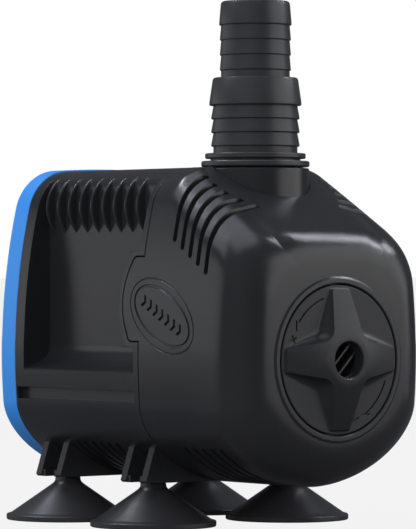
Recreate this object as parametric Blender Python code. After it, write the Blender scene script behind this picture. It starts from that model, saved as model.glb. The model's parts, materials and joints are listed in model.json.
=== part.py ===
"""Submersible magnet-drive water pump with a pull-off strainer cage.

Everything is drawn in millimetres, X to the right, Y to the back and Z up, and scaled to metres as
each mesh is made. The origin lies on the surface the pump stands on, under the middle of its box.
"""

import math

import bmesh
import bpy
from mathutils import Matrix, Vector

MM = 0.001

# Fits
CLEARANCE = 0.3
DIAL_GAP = 0.45
WALL = 2.4

# Casing section: keel curve, bowed side, round shoulder and a slightly crowned top.
# The sloping roof cuts the shoulder off, with a smaller round along its edge.
HALF_WIDTH = 45.1
WIDEST_Z = 62.0
SIDE_BOW = 222.0
KEEL_Z = 15.3
KEEL_TOP_Z = 44.0
KEEL_POWER = 1.78
TOP_Z = 130.0
CROWN = 0.5
SHOULDER_RADIUS = 19.0
EDGE_RADIUS = 10.0
TURN_WEIGHT = 16.0
KEEL_STEPS = 7
SIDE_STEPS = 2
SHOULDER_STEPS = 8
ARC_STEPS = 12

# Places along the pump
FRONT_Y = -68.9
BEND_Y = -18.8
SEAM_Y = -11.4
REAR_SEAM_Y = 64.3
REAR_Y = 75.0
ROOF_SLOPE = 0.61
SIDE_ROUND = 15.0
ROOF_ROUND = 8.0
KEEL_ROUND = 15.4
REAR_ROUND = 3.0
ROUND_STEPS = 5
ROOF_STATIONS = 4
ROOF_STATION_GAP = 1.6

# Latch tab of the cage, seen from the side
TAB_LOW_Z = 67.4
TAB_HIGH_Z = 97.5
TAB_LENGTH = 6.2
TAB_BULGE = 3.9
TAB_LIP = 2.4

# Strainer slots
SLOT_WIDTH = 2.2
SLOT_PITCH = 5.0
SLOT_FIRST_Y = -27.4
SLOT_COUNT = 5
SLOT_FIRST_LOW_Z = 102.9
SLOT_LOW_DROP = 2.9
SLOT_FIRST_INNER_X = 27.7
SLOT_INNER_DROP = 0.58
BELLY_TOP_Z = 29.5
BELLY_INNER_X = 11.0
GROOVE_FIRST_Y = 13.3
GROOVE_PITCH = 4.76
GROOVE_COUNT = 6
GROOVE_DEPTH = 1.2

# Grip recess and the finned pockets over it
RECESS_FRONT_Y = -8.2
RECESS_REAR_Y = 58.9
RECESS_FLOOR_Z = 59.9
RECESS_FLOOR_SLOPE = 0.307
RECESS_FILLET = 5.0
LIP_RADIUS = 13.0
LIP_ANGLE = math.radians(55.0)
LIP_DROP = 23.30773
POCKET_SINK = 1.2
POCKET_LOW_Z = 107.2
POCKET_HIGH_Z = 126.4
POCKET_POINT = 5.0
POCKET_FIRST_Y = -2.45
POCKET_PITCH = 6.89
POCKET_COUNT = 9
FIN_THICKNESS = 1.2
SIDE_GROOVE_LOW_Z = 44.9
SIDE_GROOVE_HIGH_Z = 49.3
SIDE_GROOVE_DEPTH = 2.8
SIDE_GROOVE_FRONT_Y = -8.4

# Suction cups and the brackets that carry them
CUP_X = 31.5
CUP_FRONT_Y = -2.56
CUP_REAR_Y = 49.5
CUP_RADIUS = 22.9
CUP_NECK_RADIUS = 4.7
CUP_STEM_RADIUS = 2.4
CUP_HEAD_RADIUS = 4.0
CUP_HEAD_HEIGHT = 3.4
CUP_HEAD_CROWN = 0.4
CUP_HEAD_SHOULDER = 1.8
CUP_CONE_TOP_RADIUS = 5.4
CUP_CONE_TOP_Z = 13.6
CUP_CONE_LOW_RADIUS = 20.6
CUP_CONE_LOW_Z = 2.9
CUP_RIM = 2.1
CUP_FOOT_WIDTH = 2.0
CUP_HOLLOW_RADIUS = 18.4
CUP_HOLLOW_LOW_Z = 1.3
CUP_HOLLOW_INNER_RADIUS = 9.0
CUP_HOLLOW_INNER_Z = 4.6
CUP_HOLLOW_TOP_Z = 6.0
PLATE_LOW_Z = 16.0
PLATE_HIGH_Z = 18.5
BRACKET_PITCH = 12.2
BRACKET_WALL = 3.2
BRACKET_INNER_X = 6.0
BRACKET_LOW_X = 40.6
BRACKET_HIGH_X = 36.5
BRACKET_HIGH_Z = 29.4

# Motor
ROTOR_Z = 64.0
BULKHEAD_FRONT_Y = -1.0
BULKHEAD_THICKNESS = 4.0
WELL_RADIUS = 15.5
WELL_WALL = 1.3
WELL_FLANGE = 2.5
WELL_END_Y = 46.0
WELL_END_WALL = 1.5
SEAL_THICKNESS = 1.9
SEAL_CIRCLE_RADIUS = 17.6
SHAFT_RADIUS = 2.5
SHAFT_FRONT_Y = -41.0
BUSH_WALL = 1.8
BUSH_LENGTH = 4.0
SOCKET_WALL = 1.5
MAGNET_RADIUS = 13.4
MAGNET_FRONT_Y = 6.0
MAGNET_REAR_Y = 38.0
WASHER_THICKNESS = 1.0
WASHER_RADIUS = 4.6
CORE_FRONT_Y = 13.0
CORE_REAR_Y = 38.0
CORE_HALF_WIDTH = 28.0
CORE_SIDE_GAP = 2.4
CORE_LOW_Z = 42.0
POLE_TOP_Z = 86.0
CORE_TOP_Z = 121.0
YOKE_HEIGHT = 9.0
LEG_INNER_X = 10.0
LEG_OUTER_X = 18.0
BOBBIN_WALL = 1.0
BOBBIN_FLANGE = 1.2
COIL_BUILD = 4.6
FLANGE_OVERHANG = 0.9
LID_FRONT_Y = 56.5
LID_THICKNESS = 2.0
SPIGOT_LENGTH = 3.2
SPIGOT_WALL = 1.8
GLAND_Z = 36.0
GLAND_RADIUS = 5.0
GLAND_FLANGE_RADIUS = 8.0
GLAND_FLANGE = 1.8
GLAND_BORE_RADIUS = 3.2

# Pump chamber, impeller and outlet
CHAMBER_RADIUS = 29.5
CHAMBER_FRONT_Y = -37.0
COVER_THICKNESS = 3.0
EYE_RADIUS = 11.0
SPOKE_COUNT = 3
SPOKE_WIDTH = 3.0
IMPELLER_GAP = 2.5
IMPELLER_FRONT_Y = -29.0
IMPELLER_DISC_Y = -15.0
IMPELLER_DISC = 2.0
IMPELLER_HUB_RADIUS = 7.0
VANE_COUNT = 6
VANE_THICKNESS = 1.6
SCREW_EDGE = 3.5
SCREW_WALL = 3.5
SCREW_RADIUS = 1.5
SCREW_DEPTH = 2.6
SCREW_HEAD_RADIUS = 2.8
SCREW_HEAD = 2.0
OUTLET_Y = -22.5
BOSS_RADIUS = 19.6
BOSS_LOW_Z = 104.0
BOSS_TOP_Z = 129.8
PIPE_RADIUS = 14.0
PIPE_BORE_RADIUS = 11.5
SOCKET_RADIUS = 15.0
SOCKET_LOW_Z = 117.0
RING_LOW_Z = 123.0
RING_GROOVE_DEPTH = 1.9
RING_THICKNESS = 1.7

# Hose tail
TAIL_BORE_RADIUS = 10.0
COLLAR_RADIUS = 19.7
COLLAR_LIFT = 0.5
COLLAR_HEIGHT = 2.1
COLLAR_NECK_RADIUS = 17.3
FLANGE_NECK_RADIUS = 16.35
FLANGE_NECK_HEIGHT = 0.9
FLANGE_RADIUS = 18.3
FLANGE_HEIGHT = 1.9
LOWER_ROOT_RADIUS = 15.3
LOWER_TIP_RADIUS = 16.1
LOWER_NECK_HEIGHT = 2.5
LOWER_PITCH = 4.97
BIG_BARB_RADIUS = 16.8
BIG_BARB_TOP_RADIUS = 15.4
BIG_BARB_HEIGHT = 10.09
UPPER_ROOT_RADIUS = 12.52
UPPER_TIP_RADIUS = 12.85
UPPER_NECK_HEIGHT = 2.6
UPPER_PITCH = 5.5
TOP_BARB_RADIUS = 13.2
TOP_BARB_HEIGHT = 8.7
BARB_COUNT = 3

# Flow dial
DIAL_Z = 61.1
DIAL_BORE_RADIUS = 27.0
BEZEL_RADIUS = 29.8
BEZEL_RISE = 0.6
LEDGE_FRONT_Y = -65.5
LEDGE_REAR_Y = -62.7
LEDGE_RADIUS = 22.4
RETAINER_RADIUS = 25.0
RETAINER_THICKNESS = 2.0
KNOB_TOP_Y = -75.0
KNOB_ARM_RADIUS = 24.8
KNOB_TIP_HALF_WIDTH = 3.95
KNOB_WAIST = 7.5
KNOB_TIP_RISE = 1.5
KNOB_CREST_RUN = 4.0
KNOB_CREST_FALL = 0.6
HUB_RADIUS = 8.6
HUB_BORE_RADIUS = 6.5
HUB_CHAMFER = 0.8
HUB_DEPTH = 4.8
GRILLE_THICKNESS = 1.6
GRILLE_SLOT = 2.2
GRILLE_PITCH = 4.4
STALK_RADIUS = 5.0
STALK_PIN_RADIUS = 2.6
SHUTTER_RADIUS = 13.0
WINDOW_HUB_WALL = 1.0
WINDOW_RIM = 1.5
SHUTTER_REAR_Y = -43.2
SHUTTER_THICKNESS = 2.0

# Places that follow from the ones above
SHOULDER_LOW_Z = TOP_Z - ROOF_SLOPE * (BEND_Y - FRONT_Y) - EDGE_RADIUS - 2.0 * WALL
COLLAR_LOW_Z = BOSS_TOP_Z + COLLAR_LIFT
COLLAR_HIGH_Z = COLLAR_LOW_Z + COLLAR_HEIGHT
FLANGE_LOW_Z = COLLAR_HIGH_Z + FLANGE_NECK_HEIGHT
FLANGE_HIGH_Z = FLANGE_LOW_Z + FLANGE_HEIGHT
LOWER_FIRST_Z = FLANGE_HIGH_Z + LOWER_NECK_HEIGHT
BIG_BARB_Z = LOWER_FIRST_Z + BARB_COUNT * LOWER_PITCH
BIG_BARB_TOP_Z = BIG_BARB_Z + BIG_BARB_HEIGHT
UPPER_FIRST_Z = BIG_BARB_TOP_Z + UPPER_NECK_HEIGHT
TOP_BARB_Z = UPPER_FIRST_Z + BARB_COUNT * UPPER_PITCH
TAIL_TOP_Z = TOP_BARB_Z + TOP_BARB_HEIGHT
BULKHEAD_REAR_Y = BULKHEAD_FRONT_Y + BULKHEAD_THICKNESS
WELL_FLANGE_REAR_Y = BULKHEAD_FRONT_Y - CLEARANCE
WELL_FLANGE_FRONT_Y = WELL_FLANGE_REAR_Y - WELL_FLANGE
CHAMBER_REAR_Y = WELL_FLANGE_FRONT_Y - CLEARANCE
COVER_REAR_Y = CHAMBER_FRONT_Y - CLEARANCE
COVER_FRONT_Y = COVER_REAR_Y - COVER_THICKNESS
WELL_FLOOR_Y = WELL_END_Y - WELL_END_WALL
BUSH_RADIUS = SHAFT_RADIUS + CLEARANCE + BUSH_WALL
OUTLET_NOTCH_RADIUS = COLLAR_RADIUS + CLEARANCE
CAVITY_X = CORE_HALF_WIDTH + CORE_SIDE_GAP
RECESS_X = CAVITY_X + WALL
LIP_LOW_Z = TOP_Z - LIP_DROP
POCKET_X = RECESS_X - POCKET_SINK
SCREW_CIRCLE_RADIUS = CHAMBER_RADIUS - SCREW_EDGE
CHAMBER_BORE_RADIUS = SCREW_CIRCLE_RADIUS - SCREW_WALL
IMPELLER_RADIUS = CHAMBER_BORE_RADIUS - IMPELLER_GAP
TAB_TIP_Y = SEAM_Y + TAB_LENGTH + TAB_BULGE
FAR = 60.0

ROUND_SEGMENTS = 32
MEDIUM_SEGMENTS = 20
SMALL_SEGMENTS = 8

FINISHES = {
    "casing": ((0.020, 0.021, 0.024), 0.42, 0.0),
    "blue": ((0.06, 0.29, 0.75), 0.38, 0.0),
    "rubber": ((0.012, 0.012, 0.014), 0.35, 0.0),
    "seal": ((0.02, 0.02, 0.02), 0.6, 0.0),
    "inner": ((0.30, 0.31, 0.33), 0.5, 0.0),
    "steel": ((0.55, 0.56, 0.58), 0.35, 1.0),
    "copper": ((0.60, 0.27, 0.12), 0.4, 1.0),
    "ferrite": ((0.07, 0.07, 0.08), 0.55, 0.0),
    "ceramic": ((0.80, 0.80, 0.76), 0.25, 0.0),
}


def material(name):
    """One Principled material for each finish, made on first use"""
    found = bpy.data.materials.get(name)
    if found:
        return found
    colour, roughness, metallic = FINISHES[name]
    made = bpy.data.materials.new(name)
    made.use_nodes = True
    shader = made.node_tree.nodes["Principled BSDF"]
    shader.inputs["Base Color"].default_value = (*colour, 1.0)
    shader.inputs["Roughness"].default_value = roughness
    shader.inputs["Metallic"].default_value = metallic
    return made


def make(name, bm, finish=None, pivot=(0.0, 0.0, 0.0)):
    """Turn a millimetre bmesh into an object; without a finish it is a hidden tool"""
    bmesh.ops.recalc_face_normals(bm, faces=bm.faces)
    bm.transform(Matrix.Translation(-Vector(pivot)))
    bm.transform(Matrix.Scale(MM, 4))
    mesh = bpy.data.meshes.new(name)
    bm.to_mesh(mesh)
    bm.free()
    mesh.shade_smooth()
    mesh.set_sharp_from_angle(angle=math.radians(35.0))
    obj = bpy.data.objects.new(name, mesh)
    obj.location = Vector(pivot) * MM
    bpy.context.collection.objects.link(obj)
    if finish:
        mesh.materials.append(material(finish))
    else:
        obj.hide_render = True
        obj.display_type = "WIRE"
    return obj


def combine(obj, tool, operation, solver="EXACT"):
    """Add a Boolean modifier that stays on the object"""
    modifier = obj.modifiers.new(tool.name, "BOOLEAN")
    modifier.operation = operation
    modifier.object = tool
    modifier.solver = solver
    tool.hide_render = True
    tool.display_type = "WIRE"


def cut(obj, tool, solver="EXACT"):
    combine(obj, tool, "DIFFERENCE", solver)


def join(obj, tool, solver="EXACT"):
    combine(obj, tool, "UNION", solver)


def loft(bm, rings):
    """Skin rings of equal point count and cap both ends"""
    loops = [[bm.verts.new(point) for point in one] for one in rings]
    count = len(loops[0])
    for near, far in zip(loops, loops[1:]):
        for index in range(count):
            after = (index + 1) % count
            bm.faces.new((near[index], near[after], far[after], far[index]))
    bm.faces.new(loops[0])
    bm.faces.new(tuple(reversed(loops[-1])))


def prism(bm, outline, axis, start, end):
    """Extrude a flat outline along X, Y or Z"""
    def place(pair, along):
        first, second = pair
        if axis == "X":
            return (along, first, second)
        if axis == "Y":
            return (first, along, second)
        return (first, second, along)
    loft(bm, [[place(pair, along) for pair in outline] for along in (start, end)])


def box(bm, low, high):
    outline = [(low[0], low[2]), (high[0], low[2]), (high[0], high[2]), (low[0], high[2])]
    prism(bm, outline, "Y", low[1], high[1])


def turned(bm, profile, axis, centre, segments):
    """Spin (radius, height) points round an axis; off the axis the profile closes on itself"""
    loops = []
    for radius, height in profile:
        loop = []
        count = segments if radius > 0.0 else 1
        for step in range(count):
            angle = 2.0 * math.pi * step / segments
            across = centre[0] + radius * math.cos(angle)
            other = centre[1] + radius * math.sin(angle)
            point = (across, height, other) if axis == "Y" else (across, other, height)
            loop.append(bm.verts.new(point))
        loops.append(loop)
    pairs = list(zip(loops, loops[1:]))
    if len(loops[0]) > 1:
        pairs.append((loops[-1], loops[0]))
    for near, far in pairs:
        for step in range(segments):
            after = (step + 1) % segments
            corners = [near[step % len(near)], near[after % len(near)],
                       far[after % len(far)], far[step % len(far)]]
            face = list(dict.fromkeys(corners))
            if len(face) > 2:
                bm.faces.new(face)


def rod(bm, radius, axis, centre, start, end, segments):
    turned(bm, [(0.0, start), (radius, start), (radius, end), (0.0, end)], axis, centre, segments)


def tube(bm, outer, inner, axis, centre, start, end, segments):
    profile = [(inner, start), (outer, start), (outer, end), (inner, end)]
    turned(bm, profile, axis, centre, segments)


def curve(first, control, last, steps):
    """Points along a quadratic curve"""
    points = []
    for step in range(steps + 1):
        t = step / steps
        points.append(tuple((1 - t) ** 2 * a + 2 * t * (1 - t) * b + t ** 2 * c
                            for a, b, c in zip(first, control, last)))
    return points


def side_x(z):
    return HALF_WIDTH - (z - WIDEST_Z) ** 2 / (2.0 * SIDE_BOW)


def roof_z(y):
    return TOP_Z - ROOF_SLOPE * max(0.0, BEND_Y - y)


def keel_point(share, inset):
    """Point on the keel curve; share runs from the middle of the belly to the side"""
    turn = math.radians(90.0) * share
    x = (side_x(KEEL_TOP_Z) - inset) * math.sin(turn) ** (2.0 / KEEL_POWER)
    z = KEEL_TOP_Z - (KEEL_TOP_Z - KEEL_Z - inset) * math.cos(turn) ** (2.0 / KEEL_POWER)
    return (x, z)


def arc(centre, radius, start, end):
    """Points of an arc as (x, z), between two angles"""
    angles = [start + (end - start) * step / ARC_STEPS for step in range(ARC_STEPS + 1)]
    return [(centre[0] + radius * math.cos(a), centre[1] + radius * math.sin(a)) for a in angles]


def spread(path, steps):
    """Points along a path, closer together where it turns"""
    kept = [path[0]]
    measure = [0.0]
    heading = None
    for point in path[1:]:
        step = Vector(point) - Vector(kept[-1])
        if step.length < MM:
            continue
        turn = step.angle(heading) if heading else 0.0
        kept.append(point)
        measure.append(measure[-1] + step.length + TURN_WEIGHT * turn)
        heading = step
    points = []
    index = 1
    for step in range(steps + 1):
        wanted = measure[-1] * step / steps
        while index < len(kept) - 1 and measure[index] < wanted:
            index += 1
        share = (wanted - measure[index - 1]) / (measure[index] - measure[index - 1])
        points.append(tuple(Vector(kept[index - 1]).lerp(Vector(kept[index]), share)))
    return points


def shoulder_round(inset):
    """Centre of the large shoulder round and the angle at which it leaves the leaning side"""
    radius = SHOULDER_RADIUS - inset
    lean = 0.0
    for _ in range(4):
        start = TOP_Z - inset - radius * (1.0 - math.sin(lean))
        lean = math.atan((start - WIDEST_Z) / SIDE_BOW)
    return (side_x(start) - inset - radius * math.cos(lean), start - radius * math.sin(lean)), lean


def shoulder(top, inset):
    """From the side over the shoulder to the flat of a roof at this height"""
    centre, lean = shoulder_round(inset)
    radius = SHOULDER_RADIUS - inset
    small = EDGE_RADIUS - inset
    level = top - inset - small
    rise = level - centre[1]
    run = math.sqrt(max(0.0, (radius - small) ** 2 - rise ** 2))
    turn = math.atan2(rise, run)
    if turn > lean:
        start = centre[1] + radius * math.sin(lean)
        over = arc(centre, radius, lean, turn)
        middle = centre[0] + run
    else:
        bow = SIDE_BOW - inset
        run = math.sqrt((bow - small) ** 2 - (level - WIDEST_Z) ** 2)
        turn = math.atan2(level - WIDEST_Z, run)
        start = WIDEST_Z + bow * math.sin(turn)
        over = []
        middle = HALF_WIDTH - SIDE_BOW + run
    heights = [SHOULDER_LOW_Z + (start - SHOULDER_LOW_Z) * step / ARC_STEPS for step in range(ARC_STEPS)]
    side = [(side_x(z) - inset, z) for z in heights]
    return spread(side + over + arc((middle, level), small, turn, math.radians(90.0)), SHOULDER_STEPS)


def half_section(top, inset=0.0):
    """Right half of the casing section, from the belly up to the middle of the top"""
    points = [keel_point(step / KEEL_STEPS, inset) for step in range(KEEL_STEPS)]
    for step in range(SIDE_STEPS):
        z = KEEL_TOP_Z + (SHOULDER_LOW_Z - KEEL_TOP_Z) * step / SIDE_STEPS
        points.append((side_x(z) - inset, z))
    return points + shoulder(top, inset) + [(0.0, top - inset + CROWN)]


def cavity_half(extra=0.0):
    """Motor cavity: the inset section, kept inside the grip recesses"""
    half = half_section(TOP_Z, WALL + extra)
    return [(min(x, CAVITY_X - extra), z) for x, z in half]


def mirrored(half):
    return half + [(-x, z) for x, z in reversed(half[1:-1])]


def ring(half, y):
    return [(x, y, z) for x, z in mirrored(half)]


def drawn_in(half, side_in, top_in, keel_in):
    """Shrink a section as it runs into a rounded end"""
    keel = half[0][1]
    top = half[-1][1]
    points = []
    for x, z in half:
        x = x * (HALF_WIDTH - side_in) / HALF_WIDTH
        if z > WIDEST_Z:
            z = WIDEST_Z + (z - WIDEST_Z) * (top - top_in - WIDEST_Z) / (top - WIDEST_Z)
        else:
            z = WIDEST_Z - (WIDEST_Z - z) * (WIDEST_Z - keel - keel_in) / (WIDEST_Z - keel)
        points.append((x, z))
    return points


def round_in(radius, distance):
    """How far a quarter round of this radius stands back at a distance from the end"""
    if distance >= radius:
        return 0.0
    return radius - math.sqrt(radius ** 2 - (radius - distance) ** 2)


def end_distances(radius):
    return [radius * (1.0 - math.sin(math.radians(90.0) * step / ROUND_STEPS))
            for step in range(ROUND_STEPS + 1)]


def cage_rings(rear, inset):
    """Stations of the cage from the back to the rounded front"""
    front = FRONT_Y + inset
    roof = [BEND_Y - ROOF_STATION_GAP * step ** 2 for step in range(ROOF_STATIONS + 1)]
    places = [rear] + roof + [front + away for away in end_distances(KEEL_ROUND - inset)]
    rings = []
    for y in places:
        away = y - front
        half = drawn_in(half_section(roof_z(y), inset), round_in(SIDE_ROUND - inset, away),
                        round_in(ROOF_ROUND - inset, away), round_in(KEEL_ROUND - inset, away))
        rings.append(ring(half, y))
    return rings


def band(bm, path, inward, outward, y, width):
    """Cutting band that follows a stretch of the section"""
    inner = []
    outer = []
    for index, (x, z) in enumerate(path):
        before = path[max(index - 1, 0)]
        after = path[min(index + 1, len(path) - 1)]
        along = Vector((after[0] - before[0], after[1] - before[1])).normalized()
        inner.append((x - along.y * inward, z + along.x * inward))
        outer.append((x + along.y * outward, z - along.x * outward))
    prism(bm, inner + outer[::-1], "Y", y - width / 2.0, y + width / 2.0)


def belly_path():
    """Keel curve between the inner and outer ends of the belly slots"""
    fine = [keel_point(step / 60.0, 0.0) for step in range(61)]
    return [point for point in fine if point[0] > BELLY_INNER_X and point[1] < BELLY_TOP_Z][::3]


def both_sides(path):
    """The path and its mirror image, both running the same way round the section"""
    return [path, [(-x, z) for x, z in reversed(path)]]


def tab_outline(grow):
    """Latch tab seen from the side, as (y, z), grown by a clearance"""
    back = SEAM_Y + TAB_LENGTH + grow
    low = TAB_LOW_Z - grow
    high = TAB_HIGH_Z + grow
    middle = (low + high) / 2.0
    bulge = curve((back, low), (back + 2.0 * TAB_BULGE, middle), (back, high), 8)
    return [(SEAM_Y, low)] + bulge + [(SEAM_Y, high)]


def screw_places():
    """Corners of the chamber screws as (x, z)"""
    reach = SCREW_CIRCLE_RADIUS * math.sqrt(0.5)
    return [(sx * reach, ROTOR_Z + sz * reach) for sx in (-1, 1) for sz in (-1, 1)]


def screw_holes(name):
    bm = bmesh.new()
    for centre in screw_places():
        rod(bm, SCREW_RADIUS + CLEARANCE, "Y", centre, COVER_FRONT_Y - FAR,
            BULKHEAD_FRONT_Y + SCREW_DEPTH + CLEARANCE, SMALL_SEGMENTS)
    return make(name, bm)


def outlet_notch(name):
    """Room for the outlet boss and collar, open to the back of the cage"""
    bm = bmesh.new()
    rod(bm, OUTLET_NOTCH_RADIUS, "Z", (0.0, OUTLET_Y), BOSS_LOW_Z - 1.0, TAIL_TOP_Z, ROUND_SEGMENTS)
    return make(name, bm)


def recess_lip():
    """Rolled lip over the grip recess, from the recess wall up to the shoulder"""
    (x, z), _ = shoulder_round(0.0)
    top_x = x + SHOULDER_RADIUS * math.cos(LIP_ANGLE)
    top_z = z + SHOULDER_RADIUS * math.sin(LIP_ANGLE)
    half_chord = math.hypot(top_x - RECESS_X, top_z - LIP_LOW_Z) / 2.0
    inward = math.sqrt(LIP_RADIUS ** 2 - half_chord ** 2) / half_chord / 2.0
    centre = ((RECESS_X + top_x) / 2.0 - (top_z - LIP_LOW_Z) * inward,
              (LIP_LOW_Z + top_z) / 2.0 + (top_x - RECESS_X) * inward)
    low = math.atan2(LIP_LOW_Z - centre[1], RECESS_X - centre[0])
    high = math.atan2(top_z - centre[1], top_x - centre[0])
    return spread(arc(centre, LIP_RADIUS, low, high), SHOULDER_STEPS)


def recess_profile(low, high):
    """Grip recess section between two heights, open to the side"""
    floor_end = RECESS_X + RECESS_FILLET
    floor_z = RECESS_FLOOR_Z - RECESS_FLOOR_SLOPE * RECESS_FILLET
    fillet = curve((floor_end, floor_z), (RECESS_X, RECESS_FLOOR_Z),
                   (RECESS_X, RECESS_FLOOR_Z + RECESS_FILLET), 4)
    lip = recess_lip()
    outer_floor = (FAR, floor_z - RECESS_FLOOR_SLOPE * (FAR - floor_end))
    outline = [outer_floor] + fillet + lip + [(FAR, lip[-1][1])]
    kept = [point for point in outline if low < point[1] < high]
    if low > RECESS_FLOOR_Z:
        kept = [(FAR, low), (RECESS_X, low)] + kept
    if high < lip[0][1]:
        kept = kept + [(RECESS_X, high), (FAR, high)]
    return kept


def recess_tool(name, low, high, front, rear):
    bm = bmesh.new()
    profile = recess_profile(low, high)
    prism(bm, profile, "Y", front, rear)
    prism(bm, [(-x, z) for x, z in profile], "Y", front, rear)
    return make(name, bm)


def add_brackets(housing):
    """Four forked brackets under the housing, each with a slot open to the side"""
    walls = bmesh.new()
    plates = bmesh.new()
    slots = bmesh.new()
    profile = [(BRACKET_INNER_X, PLATE_LOW_Z), (BRACKET_LOW_X, PLATE_LOW_Z),
               (BRACKET_HIGH_X, BRACKET_HIGH_Z), (BRACKET_INNER_X, BRACKET_HIGH_Z)]
    slot = CUP_STEM_RADIUS + CLEARANCE
    for side in (-1, 1):
        for cup_y in (CUP_FRONT_Y, CUP_REAR_Y):
            for step in (-0.5, 0.5):
                middle = cup_y + step * BRACKET_PITCH
                prism(walls, [(side * x, z) for x, z in profile], "Y",
                      middle - BRACKET_WALL / 2.0, middle + BRACKET_WALL / 2.0)
            reach = BRACKET_PITCH / 2.0
            lean = (BRACKET_LOW_X - BRACKET_HIGH_X) / (BRACKET_HIGH_Z - PLATE_LOW_Z)
            plate_high_x = BRACKET_LOW_X - lean * (PLATE_HIGH_Z - PLATE_LOW_Z)
            outline = [(BRACKET_INNER_X, PLATE_LOW_Z), (BRACKET_LOW_X, PLATE_LOW_Z),
                       (plate_high_x, PLATE_HIGH_Z), (BRACKET_INNER_X, PLATE_HIGH_Z)]
            prism(plates, [(side * x, z) for x, z in outline], "Y", cup_y - reach, cup_y + reach)
            ends = sorted((side * (CUP_X - slot), side * FAR))
            box(slots, (ends[0], cup_y - slot, PLATE_LOW_Z - 1.0),
                (ends[1], cup_y + slot, PLATE_HIGH_Z + 0.1))
    join(housing, make("bracket_walls", walls))
    join(housing, make("bracket_plates", plates))
    cut(housing, make("bracket_slots", slots))


def cut_motor_rooms(housing):
    """Motor cavity behind the bulkhead, chamber mouth before it, and the well's hole through it"""
    cavity = bmesh.new()
    loft(cavity, [ring(cavity_half(), BULKHEAD_REAR_Y), ring(cavity_half(), REAR_SEAM_Y + 1.0)])
    cut(housing, make("motor_cavity", cavity))
    mouth = bmesh.new()
    loft(mouth, [ring(cavity_half(), SEAM_Y - 1.0), ring(cavity_half(), BULKHEAD_FRONT_Y)])
    cut(housing, make("chamber_mouth", mouth))
    hole = bmesh.new()
    rebate = SEAL_CIRCLE_RADIUS + SEAL_THICKNESS / 2.0 + CLEARANCE
    rebate_y = BULKHEAD_FRONT_Y + SEAL_THICKNESS + CLEARANCE
    turned(hole, [(0.0, BULKHEAD_FRONT_Y - 0.5), (rebate, BULKHEAD_FRONT_Y - 0.5), (rebate, rebate_y),
                  (WELL_RADIUS + CLEARANCE, rebate_y), (WELL_RADIUS + CLEARANCE, BULKHEAD_REAR_Y + 0.5),
                  (0.0, BULKHEAD_REAR_Y + 0.5)], "Y", (0.0, ROTOR_Z), ROUND_SEGMENTS)
    cut(housing, make("well_hole", hole))


def pocket_outline(middle):
    """Pocket between two fins as (y, z), pointed at both ends"""
    half = (POCKET_PITCH - FIN_THICKNESS) / 2.0
    low = POCKET_LOW_Z + POCKET_POINT
    high = POCKET_HIGH_Z - POCKET_POINT / 2.0
    return [(middle, POCKET_LOW_Z), (middle - half, low), (middle - half, high), (middle, POCKET_HIGH_Z),
            (middle + half, high), (middle + half, low)]


def cut_grips(housing):
    """Grip recesses, the pockets between their fins, side grooves and the latch notches"""
    lip_y = TAB_TIP_Y + TAB_LIP
    lip_low = TAB_LOW_Z - TAB_LIP
    lip_high = TAB_HIGH_Z + TAB_LIP
    cut(housing, recess_tool("recess", 0.0, TOP_Z, lip_y, RECESS_REAR_Y))
    cut(housing, recess_tool("recess_over_tab", lip_high, TOP_Z, RECESS_FRONT_Y, lip_y + 1.0))
    cut(housing, recess_tool("recess_under_tab", 0.0, lip_low, RECESS_FRONT_Y, lip_y + 1.0))
    pockets = bmesh.new()
    grooves = bmesh.new()
    notches = bmesh.new()
    groove_x = side_x((SIDE_GROOVE_LOW_Z + SIDE_GROOVE_HIGH_Z) / 2.0) - SIDE_GROOVE_DEPTH
    notch_x = side_x(TAB_HIGH_Z) - WALL - 2.0 * CLEARANCE
    for side in (-1, 1):
        for index in range(POCKET_COUNT):
            outline = pocket_outline(POCKET_FIRST_Y + index * POCKET_PITCH)
            prism(pockets, outline, "X", side * POCKET_X, side * FAR)
        inner, outer = sorted((side * groove_x, side * FAR))
        box(grooves, (inner, SIDE_GROOVE_FRONT_Y, SIDE_GROOVE_LOW_Z),
            (outer, REAR_SEAM_Y + 1.0, SIDE_GROOVE_HIGH_Z))
        notch = tab_outline(CLEARANCE)
        notch[0] = (SEAM_Y - 1.0, notch[0][1])
        notch[-1] = (SEAM_Y - 1.0, notch[-1][1])
        prism(notches, notch, "X", side * notch_x, side * FAR)
    cut(housing, make("finned_pockets", pockets))
    cut(housing, make("side_grooves", grooves))
    cut(housing, make("latch_notches", notches))


def motor_housing():
    bm = bmesh.new()
    half = half_section(TOP_Z)
    loft(bm, [ring(half, SEAM_Y + CLEARANCE), ring(half, REAR_SEAM_Y)])
    housing = make("motor_housing", bm, "casing")
    add_brackets(housing)
    cut_motor_rooms(housing)
    cut(housing, outlet_notch("housing_outlet_notch"))
    cut_grips(housing)
    grooves = bmesh.new()
    for index in range(GROOVE_COUNT):
        for path in both_sides(belly_path()):
            band(grooves, path, GROOVE_DEPTH, WALL, GROOVE_FIRST_Y + index * GROOVE_PITCH, SLOT_WIDTH)
    cut(housing, make("belly_grooves", grooves))
    cut(housing, screw_holes("housing_screw_holes"))


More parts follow.
